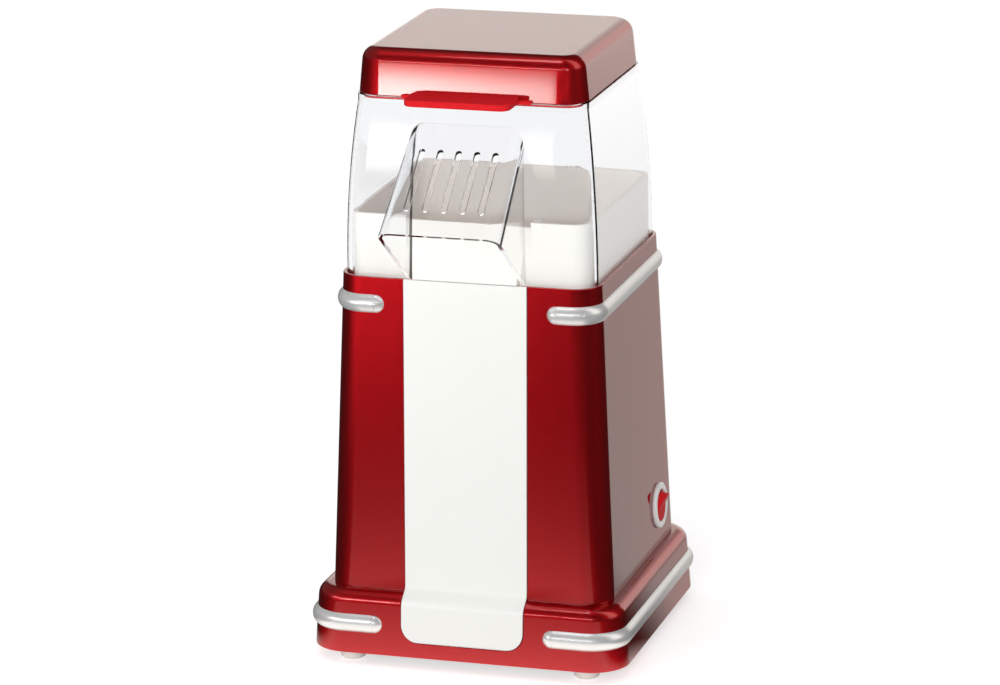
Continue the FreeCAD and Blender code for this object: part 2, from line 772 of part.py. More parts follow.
def awning_frame(body):
    """Lay a body on the awning, with its own -Y down the slope and its Z square to the slope."""
    body.Placement.Rotation = FreeCAD.Rotation(Vector(1, 0, 0), value(AWNING_SLOPE))
    bind(body, Placement__Rotation__Angle=AWNING_SLOPE, Placement__Base__y=f"-{CHUTE_ROOT}",
         Placement__Base__z=f"{HOOD_TOP} - chute_root_drop")
    doc.recompute()
    return body


def chute_block(name, inset, past_lip):
    """The space under the awning, drawn in by the inset: wider at the lip, with two rounded folds."""
    flare = f"((chute_lip_width - chute_root_width) / 2 / {AWNING_LENGTH})"
    inside = "(4 * hood_wall)"
    end = f"({AWNING_LENGTH} + {past_lip})"
    narrow = f"(chute_root_width / 2 - {inset} - {flare} * {inside})"
    wide = f"(chute_root_width / 2 - {inset} + {flare} * {end})"
    piece = Piece(name)
    corners = [(narrow, inside), (f"-{narrow}", inside), (f"-{wide}", f"-{end}"), (wide, f"-{end}")]
    piece.pad(piece.outline(corners, offset=f"-{inset}"), "2 * lip_drop", flip=True)
    top = -value(inset)
    least = value(narrow) - NEAR
    piece.round_edges(f"chute_fold - {inset}", lambda edge: (
        abs(edge.CenterOfMass.z - top) < NEAR and abs(edge.CenterOfMass.x) > least))
    return awning_frame(piece.body)


def chute_sides():
    """The side outline of the chute: awning, open mouth and the hood's front."""
    piece = Piece("chute_sides")
    inside = f"({CHUTE_ROOT} - 4 * hood_wall)"
    front = "(body_top_depth / 2 - rim_wall - hood_gap)"
    above = f"({HOOD_TOP} - chute_root_drop + 4 * hood_wall)"
    lip = f"({HOOD_TOP} - lip_drop)"
    corners = [(f"-{inside}", HOOD_LOW), (f"-{inside}", above), (f"-{LIP_REACH}", above),
               (f"-{LIP_REACH}", lip), (f"-{front}", BODY_TOP), (f"-{front}", HOOD_LOW)]
    piece.pad(piece.outline(corners, plane="YZ"), "2 * chute_lip_width", side="Symmetric")
    return piece.body


def chute_slots():
    """A row of round-ended slots square to the awning."""
    piece = Piece("chute_slots")
    middle = "(slot_start + slot_length / 2)"
    first = "(-(slot_count - 1) / 2 * slot_pitch)"
    cut = piece.pad(piece.rounded("slot_width", "slot_length", f"(slot_width / 2 - {NEAR})",
                                  centre=(first, f"-{middle}")), "6 * chute_wall", side="Symmetric")
    piece.along(cut, "slot_count", "slot_pitch")
    return awning_frame(piece.body)


def make_hood():
    """Barrel and chute as one moulding of even wall, with a bead round its top."""
    outer = barrel("hood_outside", "0", "0", "0")
    bead = f"({HOOD_TOP} - hood_bead_height)"
    outer.pad(outer.rounded(*hood_rim("(-hood_bead)"), offset=bead), "hood_bead_height")
    inner = barrel("hood_inside", "hood_wall", "-hood_wall", "hood_wall")
    block = boolean("Common", "chute_outside", chute_block("chute_outer", "0", "0"), chute_sides())
    whole = boolean("Fuse", "hood_whole", outer.body, block)
    hollow = boolean("Cut", "hood_hollow", whole, inner.body)
    mouth = boolean("Cut", "hood_mouth", hollow, chute_block("chute_inner", "chute_wall", "4 * chute_wall"))
    return boolean("Cut", "hood_cut", mouth, chute_slots())


keep(make_hood(), "hood")


# Lid, a measuring cup turned over, with a tab to lift it by

def make_lid():
    """A shallow cup whose thick lower edge sits on the hood's rim, with a skirt inside the rim."""
    piece = Piece("lid")
    lean = "-atan(lid_draft / lid_height)"
    piece.pad(piece.rounded(LID_WIDTH, LID_DEPTH, "lid_corner", offset=LID_LOW), "lid_height", taper=lean)
    front = f"({LID_DEPTH} / 2)"
    root = f"({front} - lid_wall)"
    tab_depth = f"(tab_reach + {front} - {root})"
    tab = piece.rounded("tab_width", tab_depth, "tab_corner", offset=LID_LOW,
                        centre=("0", f"-({root} + {tab_depth} / 2)"))
    piece.pad(tab, "tab_thick")
    wing_depth = f"(tab_root_reach + {front} - {root})"
    wing = piece.rounded("tab_root_width", wing_depth, f"({wing_depth} / 3)", offset=LID_LOW,
                         centre=("0", f"-({root} + {wing_depth} / 2)"))
    piece.pad(wing, "tab_root_thick")
    high = value(LID_TOP)
    piece.round_edges("lid_round", at_level(high))
    tip = -value(f"{front} + 2 * tab_root_reach")
    piece.round_edges("tab_thick / 3", lambda edge: (
        edge.CenterOfMass.y < tip and abs(edge.CenterOfMass.z - value(f"{LID_LOW} + tab_thick")) < NEAR))
    cavity = (f"({LID_WIDTH} - 2 * lid_wall)", f"({LID_DEPTH} - 2 * lid_wall)", "(lid_corner - lid_wall)")
    piece.pocket(piece.rounded(*cavity, offset=LID_LOW), "lid_height - lid_wall", flip=True, taper=lean)
    roof = value(f"{LID_TOP} - lid_wall")
    piece.round_edges("lid_round - lid_wall", at_level(roof))
    start = f"({LID_LOW} - lid_skirt)"
    skirt = "(hood_wall + hood_gap)"
    piece.pad(piece.rounded(*cavity, offset=LID_LOW), "lid_seat")
    piece.pad(piece.rounded(*hood_rim(skirt), offset=start), "lid_skirt")
    inside = hood_rim(f"({skirt} + lid_wall)")
    piece.pocket(piece.rounded(*inside, offset=start), "lid_skirt + lid_seat", flip=True)
    return piece.body


keep(make_lid())


# Liner, the tub that seats the popping chamber and leads popcorn to the chute

COLLAR = [
    "(body_top_width - 2 * (rim_wall + hood_gap + hood_wall + collar_gap))",
    "(body_top_depth - 2 * (rim_wall + hood_gap + hood_wall + collar_gap))",
    "(body_top_corner - (rim_wall + hood_gap + hood_wall + collar_gap))",
]
CHAMBER_OUTSIDE = "(chamber_radius + chamber_wall)"
LINER_SCREWS = "(sleeve_radius + screw_head + screw_gap)"


def make_liner():
    """A plate on the body's shelf with a collar, a dam in front and a ramp before the dam."""
    piece = Piece("liner")
    plate = body_section(BODY_TOP, "(body_wall + liner_gap)")
    piece.pad(piece.rounded(*plate, offset=LINER_LOW), "liner_plate")
    piece.pad(piece.rounded(*COLLAR, offset=LINER_TOP), "collar_height")
    width, depth, corner = COLLAR
    inside = (f"({width} - 2 * collar_wall)", f"({depth} - 2 * collar_wall)", f"({corner} - collar_wall)")
    piece.pocket(piece.rounded(*inside, offset=f"{LINER_TOP} + collar_height"), "collar_height")
    dam_top = f"({LINER_TOP} + collar_height - dam_drop)"
    front = f"({depth} / 2)"
    rear = "(chamber_rim + dam_gap)"
    half = "(dam_width / 2 + cheek_wall)"
    corners = [(half, f"-{front} + collar_wall / 2"), (f"-{half}", f"-{front} + collar_wall / 2"),
               (f"-{half}", f"-{rear}"), (half, f"-{rear}")]
    piece.pad(piece.outline(corners, offset=LINER_TOP), "collar_height")
    sill = f"({BODY_TOP} + ramp_gap)"
    lip = "(body_top_depth / 2 + panel_proud)"
    crest = f"({rear} + dam_edge)"
    scoop = [(f"-{rear} + dam_edge", dam_top), (f"-{crest}", dam_top), (f"-{lip}", f"{sill} + ramp_edge"),
             (f"-{lip}", f"{dam_top} + 2 * dam_drop"), (f"-{rear} + dam_edge", f"{dam_top} + 2 * dam_drop")]
    piece.pocket(piece.outline(scoop, plane="YZ"), "dam_width", side="Symmetric")
    rim_inside = "(body_top_depth / 2 - rim_wall - ramp_gap)"
    step = f"({front} - collar_wall)"
    slope = f"({dam_top} - {sill} - ramp_edge) / ({lip} - {crest})"
    ramp = [(f"-{step}", f"{dam_top} - {slope} * ({step} - {crest})"), (f"-{lip}", f"{sill} + ramp_edge"),
            (f"-{lip}", sill), (f"-{rim_inside}", sill), (f"-{rim_inside}", LINER_TOP),
            (f"-{step}", LINER_TOP)]
    piece.pad(piece.outline(ramp, plane="YZ"), "chute_root_width - 2 * (chute_wall + ramp_gap)",
              side="Symmetric")
    well = piece.circles(f"{CHAMBER_OUTSIDE} + liner_gap", [("0", "0")], offset=LINER_TOP)
    piece.pocket(well, "2 * liner_plate")
    piece.pocket(piece.circles(HOLE_RADIUS, around_axis(LINER_SCREWS), offset=LINER_LOW),
                 "liner_plate - ramp_edge", flip=True)
    return piece.body


def around_axis(radius, count=4, start=45.0):
    """Points on a circle about the upright axis, as formulas."""
    return [(f"{radius} * cos({start + 360.0 * i / count})", f"{radius} * sin({start + 360.0 * i / count})")
            for i in range(count)]


keep(make_liner())


# Popping chamber, its seal and the sleeve around it

def make_chamber():
    """An aluminium cup hung by its rim, with a domed floor and slots low in its wall."""
    piece = Piece("popping_chamber")
    piece.turn([
        ("0", f"{CHAMBER_LOW} + chamber_dome"), ("chamber_radius / 2", f"{CHAMBER_LOW} + chamber_dome"),
        (f"{CHAMBER_OUTSIDE} - chamber_dome", CHAMBER_LOW),
        (CHAMBER_OUTSIDE, f"{CHAMBER_LOW} + chamber_dome"),
        (CHAMBER_OUTSIDE, f"{CHAMBER_TOP} - chamber_wall"),
        ("chamber_rim", f"{CHAMBER_TOP} - chamber_wall"),
        ("chamber_rim", CHAMBER_TOP), ("chamber_radius", CHAMBER_TOP),
        ("chamber_radius", f"{CHAMBER_LOW} + chamber_dome + chamber_wall"),
        ("chamber_radius - chamber_dome", f"{CHAMBER_LOW} + chamber_wall"),
        ("chamber_radius / 2", f"{CHAMBER_LOW} + chamber_dome + chamber_wall"),
        ("0", f"{CHAMBER_LOW} + chamber_dome + chamber_wall"),
    ])
    slot = f"({CHAMBER_LOW} + chamber_dome + louvre_lift + louvre_height / 2)"
    lean = "(louvre_height / 3)"
    louvre = piece.outline([(f"-{lean} / 2", f"{slot} - louvre_height / 2"),
                            (f"louvre_width - {lean} / 2", f"{slot} - louvre_height / 2"),
                            (f"louvre_width + {lean} / 2", f"{slot} + louvre_height / 2"),
                            (f"{lean} / 2", f"{slot} + louvre_height / 2")],
                           plane="XZ", offset="chamber_radius")
    piece.around(piece.pocket(louvre, "4 * chamber_wall", side="Symmetric"), "louvre_count")
    return piece.body


keep(make_chamber())


def ring(label, inner, outer, low, high):
    """A plain ring about the upright axis."""
    piece = Piece(label)
    piece.turn([(inner, low), (outer, low), (outer, high), (inner, high)])
    return piece


keep(ring("chamber_seal", f"{CHAMBER_OUTSIDE} + liner_gap", "chamber_rim", LINER_TOP,
          f"{LINER_TOP} + seal_thick").body)

SLEEVE_INSIDE = "(sleeve_radius - sleeve_wall)"


def make_sleeve():
    """A steel tube that hangs under the liner by a flange within the body's shelf."""
    piece = Piece("heater_sleeve")
    flange = body_section(LINER_LOW, "(body_wall + shelf_reach + liner_gap)")
    piece.pad(piece.rounded(*flange, offset=LINER_LOW), "sleeve_wall", flip=True)
    piece.pocket(piece.circles(SLEEVE_INSIDE, [("0", "0")], offset=LINER_LOW), "2 * sleeve_wall")
    piece.turn([(SLEEVE_INSIDE, BLOWER_TOP), ("sleeve_radius", BLOWER_TOP), ("sleeve_radius", LINER_LOW),
                (SLEEVE_INSIDE, LINER_LOW)])
    piece.pocket(piece.circles(HOLE_RADIUS, around_axis(LINER_SCREWS), offset=LINER_LOW), "2 * sleeve_wall")
    return piece.body


keep(make_sleeve())
LINER_SCREW_LENGTH = "sleeve_wall + liner_plate - 2 * ramp_edge"
group("liner_screws", [screw(f"liner_screw_{i}", x, y, f"{LINER_LOW} - sleeve_wall", LINER_SCREW_LENGTH)
                       for i, (x, y) in enumerate(around_axis(LINER_SCREWS), start=1)])


# Heater: a mica cross on the blower's lip and a flat spiral of coiled wire on the cross

def make_cross():
    """Two upright mica plates halved into each other."""
    piece = Piece("heater_cross")
    reach = "(2 * (blower_inside - liner_gap))"
    for width, depth in ((reach, "mica_thick"), ("mica_thick", reach)):
        piece.pad(piece.outline(at_corners(width, depth), offset=BLOWER_TOP), "mica_height")
    return piece.body


keep(make_cross())


def make_coil():
    """A flat spiral tube of half turns, whose centres change sides by half a pitch."""
    pitch = value("coil_pitch")
    level = value(COIL_LEVEL)
    radius = value("coil_start")
    edges = []
    start_x = radius
    for half in range(int(2 * value("coil_turns"))):
        sign = 1 if half % 2 == 0 else -1
        centre = start_x - sign * radius
        first = Vector(start_x, 0, level)
        middle = Vector(centre, sign * radius, level)
        last = Vector(centre - sign * radius, 0, level)
        edges.append(Part.Arc(first, middle, last).toShape())
        start_x = last.x
        radius += pitch / 2
    path = Part.Wire(edges)
    section = Part.Wire(Part.makeCircle(value("coil_radius"), path.Vertexes[0].Point, Vector(0, 1, 0)))
    tube = path.makePipeShell([section], True, False)
    expected = math.pi * value("coil_radius") ** 2 * path.Length
    gap = pitch - 2 * value("coil_radius")
    share = tube.Volume / expected
    print(f"heater coil: gap between turns {gap:.2f} mm, volume {share:.4f} of section by length")
    coil = doc.addObject("Part::Feature", "heater_coil")
    coil.Shape = tube
    return coil


keep(make_coil(), "heater_coil")


def saddle(name, radius, start, depth, level):
    """A round block behind the sleeve, cut to the sleeve's curve."""
    block = doc.addObject("Part::Cylinder", name + "_block")
    block.Placement.Rotation = FreeCAD.Rotation(Vector(1, 0, 0), -90)
    bind(block, Radius=radius, Height=depth, Placement__Base__y=start, Placement__Base__z=level)
    curve = doc.addObject("Part::Cylinder", name + "_curve")
    bind(curve, Radius="sleeve_radius", Height="8 * thermostat_radius",
         Placement__Base__z=f"{level} - 4 * thermostat_radius")
    return boolean("Cut", name + "_cut", block, curve)


THERMOSTAT_LEVEL = f"({CHAMBER_LOW} + thermostat_radius)"
keep(saddle("thermostat", "thermostat_radius", "sleeve_radius - sleeve_wall",
            "thermostat_depth + sleeve_wall", THERMOSTAT_LEVEL), "thermostat")


def make_fuse():
    """A thermal cut-out that lies against the sleeve, above the thermostat."""
    fuse = doc.addObject("Part::Cylinder", "thermal_fuse")
    fuse.Placement.Rotation = FreeCAD.Rotation(Vector(0, 1, 0), 90)
    bind(fuse, Radius="fuse_radius", Height="fuse_length")
    doc.recompute()
    return fuse


FUSE_LEVEL = f"({THERMOSTAT_LEVEL} + thermostat_radius + 3 * fuse_radius)"
keep(make_fuse(), x="-fuse_length / 2", y="(sleeve_radius + fuse_radius)", z=FUSE_LEVEL)


# Blower housing, which stands on the bottom plate by four legs

MOTOR_SCREWS = [("motor_screw_circle", "0"), ("-motor_screw_circle", "0")]
SHAFT_HOLE = "(motor_boss + shaft_gap)"


def make_blower():
    """A round housing with an inlet floor, a lip for the mica cross and four legs."""
    piece = Piece("blower_housing")
    outside = "(blower_inside + blower_wall)"
    socket = "(sleeve_radius + screw_gap)"
    rim = f"({BLOWER_TOP} + blower_lip_height)"
    piece.turn([
        (SHAFT_HOLE, BLOWER_LOW), (outside, BLOWER_LOW), (outside, f"{BLOWER_TOP} - blower_wall"),
        (f"{socket} + blower_wall", f"{BLOWER_TOP} - blower_wall"), (f"{socket} + blower_wall", rim),
        (socket, rim), (socket, BLOWER_TOP), ("blower_lip", BLOWER_TOP),
        ("blower_lip", f"{BLOWER_TOP} - blower_lip_height"),
        ("blower_inside", f"{BLOWER_TOP} - 2 * blower_lip_height"),
        ("blower_inside", f"{BLOWER_LOW} + blower_floor"), (SHAFT_HOLE, f"{BLOWER_LOW} + blower_floor"),
    ])
    piece.pad(piece.circles("leg_radius", LEGS, offset=PLATE_TOP), "leg_height")
    piece.pocket(piece.circles(HOLE_RADIUS, LEGS, offset=PLATE_TOP), "screw_length", flip=True)
    inner = "(motor_radius + blower_floor)"
    span = f"(inlet_reach - {inner})"
    inlet = piece.rounded(span, "inlet_width", "(inlet_width / 3)", offset=f"{BLOWER_LOW} + blower_floor",
                          centre=(f"({inner} + {span} / 2)", "0"))
    piece.around(piece.pocket(inlet, "2 * blower_floor"), "inlet_count")
    holes = piece.circles(HOLE_RADIUS, MOTOR_SCREWS, offset=f"{BLOWER_LOW} + blower_floor")
    piece.pocket(holes, "2 * blower_floor")
    return piece.body


keep(make_blower())

# Fan impeller

FAN_LOW = f"({BLOWER_LOW} + blower_floor + fan_lift)"


def make_fan():
    """A disc with a hub and straight radial blades."""
    piece = Piece("fan_impeller")
    disc_top = f"({FAN_LOW} + fan_disc)"
    piece.turn([("shaft_radius", FAN_LOW), ("fan_radius", FAN_LOW), ("fan_radius", disc_top),
                ("fan_hub", disc_top), ("fan_hub", f"{FAN_LOW} + fan_height"),
                ("shaft_radius", f"{FAN_LOW} + fan_height")])
    start = "(fan_hub - fan_disc)"
    blade = piece.outline([(start, "-blade_thick / 2"), ("fan_radius - fan_disc", "-blade_thick / 2"),
                           ("fan_radius - fan_disc", "blade_thick / 2"), (start, "blade_thick / 2")],
                          offset=disc_top)
    piece.around(piece.pad(blade, "fan_height - 2 * fan_disc"), "blade_count")
    return piece.body


keep(make_fan())


# Motor

CAN_INSIDE = "(motor_radius - motor_wall)"
CAN_TOP = f"({BLOWER_LOW} - motor_wall)"
SHAFT_BORE = "(shaft_radius + shaft_gap)"
BOARD_POSTS = [("board_radius * 2 / 3", "0"), ("-board_radius * 2 / 3", "0")]


def make_can():
    """A drawn can with a boss that centres it in the blower's floor."""
    piece = Piece("motor_can")
    boss_top = f"({BLOWER_LOW} + blower_floor)"
    piece.turn([
        ("bush_radius", CAN_TOP), (CAN_INSIDE, CAN_TOP), (CAN_INSIDE, MOTOR_LOW),
        ("motor_radius", MOTOR_LOW), ("motor_radius", BLOWER_LOW), ("motor_boss", BLOWER_LOW),
        ("motor_boss", boss_top), ("bush_radius", boss_top),
    ])
    piece.pocket(piece.circles(HOLE_RADIUS, MOTOR_SCREWS, offset=BLOWER_LOW), "2 * motor_wall")
    return piece.body


keep(make_can())
UPPER_BUSH = f"({BLOWER_LOW} + blower_floor - bush_length)"
LOWER_BUSH = f"({MOTOR_LOW} - cap_thick)"
keep(ring("motor_bush_upper", SHAFT_BORE, "bush_radius", UPPER_BUSH, f"{UPPER_BUSH} + bush_length").body)
keep(ring("motor_bush_lower", SHAFT_BORE, "bush_radius", LOWER_BUSH, f"{LOWER_BUSH} + bush_length").body)


def make_cap():
    """A plug for the can's open end, with two posts that hold the rectifier board."""
    piece = Piece("motor_end_cap")
    plug = f"({CAN_INSIDE} - shaft_gap)"
    piece.turn([("bush_radius", LOWER_BUSH), ("motor_radius", LOWER_BUSH), ("motor_radius", MOTOR_LOW),
                (plug, MOTOR_LOW), (plug, f"{MOTOR_LOW} + motor_wall"),
                ("bush_radius", f"{MOTOR_LOW} + motor_wall")])
    posts = piece.circles("board_post", BOARD_POSTS, offset=LOWER_BUSH)
    piece.pad(posts, "board_drop + board_thick", flip=True)
    return piece.body


keep(make_cap())
SHAFT_LOW = f"({LOWER_BUSH} - board_drop / 3)"
SHAFT_TOP = f"({FAN_LOW} + fan_height)"
shaft = Piece("motor_shaft")
shaft.turn([("0", SHAFT_LOW), ("shaft_radius", SHAFT_LOW), ("shaft_radius", SHAFT_TOP), ("0", SHAFT_TOP)])
keep(shaft.body)

MOTOR_MIDDLE = f"(({MOTOR_LOW} + {BLOWER_LOW}) / 2)"


def make_armature():
    """The laminated core with its slots, and the commutator below it."""
    piece = Piece("motor_armature")
    low = f"({MOTOR_MIDDLE} - armature_length / 2)"
    high = f"({MOTOR_MIDDLE} + armature_length / 2)"
    foot = f"({low} - commutator_length)"
    piece.turn([("shaft_radius", foot), ("commutator_radius", foot), ("commutator_radius", low),
                ("armature_radius", low), ("armature_radius", high), ("shaft_radius", high)])
    slot = piece.rounded("armature_radius", "commutator_radius", "(commutator_radius / 4)", offset=high,
                         centre=("armature_radius", "0"))
    piece.around(piece.pocket(slot, "armature_length"), "armature_slots")
    return piece.body


keep(make_armature())


def make_magnet(name, side):
    """One curved magnet against the can's inner wall."""
    piece = ring(name, f"{CAN_INSIDE} - magnet_thick", CAN_INSIDE, f"{MOTOR_MIDDLE} - magnet_length / 2",
                 f"{MOTOR_MIDDLE} + magnet_length / 2")
    far = "(2 * motor_radius)"
    near = f"{side} * motor_radius / 4"
    cut = [(f"-{side} * {far}", f"-{far}"), (near, f"-{far}"), (near, far), (f"-{side} * {far}", far)]
    piece.pocket(piece.outline(cut, offset=f"{MOTOR_MIDDLE} + magnet_length"), "2 * magnet_length")
    return piece.body


group("motor_magnets", [make_magnet("magnet_left", -1), make_magnet("magnet_right", 1)])
group("motor_screws", [
    screw(f"motor_screw_{i}", x, y, f"{BLOWER_LOW} + blower_floor", "blower_floor + motor_wall",
          turn=(Vector(1, 0, 0), 180))
    for i, (x, y) in enumerate(MOTOR_SCREWS, start=1)])

# Rectifier board under the motor

BOARD_TOP = f"({LOWER_BUSH} - board_drop)"


def make_board():
    """A round board on the motor's two posts."""
    piece = ring("rectifier_board", SHAFT_BORE, "board_radius", f"{BOARD_TOP} - board_thick", BOARD_TOP)
    piece.pocket(piece.circles("board_post + shaft_gap", BOARD_POSTS, offset=BOARD_TOP), "2 * board_thick")
    return piece.body


keep(make_board())


def diode(name, x, y):
    """One diode that lies on the board."""
    part = doc.addObject("Part::Cylinder", name)
    part.Placement.Rotation = FreeCAD.Rotation(Vector(0, 1, 0), 90)
    bind(part, Radius="diode_radius", Height="diode_length", Placement__Base__x=f"{x} - diode_length / 2",
         Placement__Base__y=y, Placement__Base__z=f"{BOARD_TOP} + diode_radius")
    return part


group("rectifier_diodes", [
    diode(f"diode_{i}", f"{side} * board_radius / 3", f"{end} * board_radius / 2")
    for i, (side, end) in enumerate(QUARTERS, start=1)])


# Bottom plate, feet and screws

def make_plate():
    """The bottom cover, with a row of intake slots and holes for feet and screws."""
    piece = Piece("bottom_plate")
    cover = plinth_section(PLATE_TOP, "(plinth_wall + plate_gap)")
    piece.pad(piece.rounded(*cover, offset=PLATE_LOW), "plate_thick")
    piece.pocket(piece.circles("foot_stem_radius", FEET, offset=PLATE_TOP), "2 * plate_thick")
    piece.pocket(piece.circles(HOLE_RADIUS, BOSSES + LEGS, offset=PLATE_TOP), "2 * plate_thick")
    first = "(-(intake_count - 1) / 2 * intake_pitch)"
    slot = piece.rounded("intake_width", "intake_length", f"(intake_width / 2 - {NEAR})", offset=PLATE_TOP,
                         centre=(first, "0"))
    piece.along(piece.pocket(slot, "2 * plate_thick"), "intake_count", "intake_pitch")
    return piece.body


keep(make_plate())


def make_foot(label, x, y):
    """A rubber foot pushed into the bottom plate."""
    piece = Piece(label)
    grip = f"({PLATE_TOP} + foot_grip_height)"
    piece.turn([("0", "0"), ("foot_radius - foot_grip_height / 2", "0"),
                ("foot_radius", "foot_grip_height / 2"), ("foot_radius", PLATE_LOW),
                ("foot_stem_radius", PLATE_LOW), ("foot_stem_radius", PLATE_TOP),
                ("foot_grip_radius", PLATE_TOP), ("foot_stem_radius / 2", grip), ("0", grip)])
    return keep(piece.body, x=x, y=y)


for name, (x, y) in zip(("rear_right", "rear_left", "front_left", "front_right"), FEET):
    make_foot(f"foot_{name}", x, y)

SHORT_SCREW = "(screw_length - screw_head_height)"
group("bottom_plate_screws", [screw(f"plate_screw_{i}", x, y, PLATE_LOW, f"plate_thick + {SHORT_SCREW}")
                              for i, (x, y) in enumerate(BOSSES, start=1)])
group("leg_screws", [screw(f"leg_screw_{i}", x, y, PLATE_LOW, f"plate_thick + {SHORT_SCREW}")
                     for i, (x, y) in enumerate(LEGS, start=1)])
LEDGE_LOW = f"({PLINTH_TOP} - ledge_thick)"
group("body_screws", [screw(f"body_screw_{i}", x, y, LEDGE_LOW, f"ledge_thick + {SHORT_SCREW}")
                      for i, (x, y) in enumerate(TIES, start=1)])


# Rocker switch, drawn about its own outward axis and then laid on the leaning wall

PIVOT = "(bezel_thick - rocker_pivot)"
BLADES = [at_corners("blade_gauge", "blade_width", (f"{step} * blade_pitch", "0")) for step in (-1, 0, 1)]


def make_housing():
    """Bezel, neck and closed housing, with a pocket for the rocker and a hole for its pin."""
    piece = Piece("switch_housing")
    pocket_floor = "(bezel_thick - switch_pocket)"
    piece.turn([("0", "-switch_depth"), ("switch_neck", "-switch_depth"), ("switch_neck", "0"),
                ("bezel_radius", "0"), ("bezel_radius", "bezel_thick - bezel_round"),
                ("bezel_radius - bezel_round", "bezel_thick"), ("switch_opening", "bezel_thick"),
                ("switch_opening", pocket_floor), ("0", pocket_floor)])
    piece.pocket(piece.circles("pin_radius", [("0", PIVOT)], plane="XZ"), "2 * switch_neck - pin_radius",
                 side="Symmetric")
    for corners in BLADES:
        piece.pocket(piece.outline(corners, offset="-switch_depth"), "blade_length / 2", flip=True)
    return piece.body


keep(make_housing(), turn=SWITCH_TURN, **SWITCH_PLACE)


def along_pin(name, radius):
    """A long cylinder about the rocker's pin."""
    bar = doc.addObject("Part::Cylinder", name)
    bar.Placement.Rotation = FreeCAD.Rotation(Vector(1, 0, 0), 90)
    bind(bar, Radius=radius, Height="4 * rocker_radius", Placement__Base__y="2 * rocker_radius")
    return bar


def make_rocker():
    """A round rocker with a shallow V face, held inside the circle that it swings through.

    It is drawn level and then tilted about its pin to the state in which it rests.
    """
    piece = Piece("rocker_level")
    rise = "(rocker_radius * tan(rocker_tilt))"
    high = f"(rocker_pivot + {rise})"
    low = "(rocker_pivot - rocker_depth)"
    side_view = [("-rocker_radius", high), ("-rocker_radius", low), ("rocker_radius", low),
                 ("rocker_radius", high), ("0", "rocker_pivot")]
    piece.pad(piece.outline(side_view, plane="XZ"), "2 * rocker_radius", side="Symmetric")
    stem = doc.addObject("Part::Cylinder", "rocker_round")
    bind(stem, Radius="rocker_radius", Height="4 * rocker_depth", Placement__Base__z="-2 * rocker_depth")
    round_part = boolean("Common", "rocker_outline", piece.body, stem)
    swung = boolean("Common", "rocker_swung", round_part, along_pin("rocker_swing_round", "rocker_swing"))
    return boolean("Cut", "rocker_cut", swung, along_pin("rocker_bore", "pin_radius + pin_gap"))


PIVOT_X = f"({SWITCH_X} + {PIVOT} * cos({WALL_LEAN}))"
PIVOT_Z = f"({SWITCH_LEVEL} + {PIVOT} * sin({WALL_LEAN}))"
keep(make_rocker(), "switch_rocker", x=PIVOT_X, y="switch_back", z=PIVOT_Z,
     turn=(Vector(0, 1, 0), f"90 deg - {WALL_LEAN} + rocker_tilt * 1 deg"))

pin = doc.addObject("Part::Cylinder", "switch_pin")
pin.Placement.Rotation = FreeCAD.Rotation(Vector(1, 0, 0), -90)
bind(pin, Radius="pin_radius", Height="2 * switch_neck - 2 * pin_radius")
keep(pin, "switch_pin", x=PIVOT_X, y="(switch_back - switch_neck + pin_radius)", z=PIVOT_Z)


def make_blade(name, corners):
    """One flat terminal in the housing's back."""
    piece = Piece(name)
    piece.pad(piece.outline(corners, offset="-switch_depth - blade_length"), "3 * blade_length / 2")
    return piece.body


group("switch_terminals", [make_blade(f"switch_blade_{i}", corners)
                           for i, corners in enumerate(BLADES, start=1)], turn=SWITCH_TURN, **SWITCH_PLACE)


# Cord inlet and terminal block

def make_gland():
    """A flanged sleeve through the plinth's rear wall."""
    piece = Piece("cord_gland")
    inside = "(-2 * plinth_wall)"
    piece.turn([("gland_bore", inside), ("gland_neck", inside), ("gland_neck", "gland_gap"),
                ("gland_flange", "gland_gap"), ("gland_flange", "gland_flange_thick"),
                ("gland_flange - gland_gap", "gland_flange_thick + gland_gap"),
                ("gland_bore", "gland_flange_thick + gland_gap")])
    return piece.body


keep(make_gland(), turn=GLAND_TURN, **GLAND_PLACE)


def make_block():
    """A terminal block on the bottom plate, with three clamp holes."""
    piece = Piece("terminal_block")
    corners = at_corners("block_length", "block_depth", ("0", "block_back"))
    piece.pad(piece.outline(corners, offset=PLATE_TOP), "block_height")
    holes = [(f"{step} * block_length / 3", f"{PLATE_TOP} + block_height / 2") for step in (-1, 0, 1)]
    clamps = piece.circles("lead_radius + lead_gap", holes, plane="XZ",
                           offset="-block_back + block_depth / 2")
    piece.pocket(clamps, "block_depth / 2")
    return piece.body


keep(make_block())


# Leads inside the casing

def make_lead(label, corners, bend):
    """A round lead of straight runs joined by tangent arcs of one bend radius."""
    points = [Vector(*(value(part) for part in corner)) for corner in corners]
    radius = value(bend)
    edges = []
    start = points[0]
    for before, corner, after in zip(points, points[1:], points[2:]):
        back = (before - corner).normalize()
        ahead = (after - corner).normalize()
        half_turn = (math.pi - back.getAngle(ahead)) / 2
        cut = radius * math.tan(half_turn)
        middle = (back + ahead).normalize() * (radius / math.cos(half_turn) - radius)
        edges.append(Part.LineSegment(start, corner + back * cut).toShape())
        edges.append(Part.Arc(corner + back * cut, corner + middle, corner + ahead * cut).toShape())
        start = corner + ahead * cut
    edges.append(Part.LineSegment(start, points[-1]).toShape())
    path = Part.Wire(edges)
    section = Part.Wire(Part.makeCircle(value("lead_radius"), points[0], points[1] - points[0]))
    tube = path.makePipeShell([section], True, False)
    expected = math.pi * value("lead_radius") ** 2 * path.Length
    print(f"{label}: bend {radius:.1f} mm, volume {tube.Volume / expected:.4f} of section by length")
    lead = doc.addObject("Part::Feature", label)
    lead.Shape = tube
    return keep(lead, label)


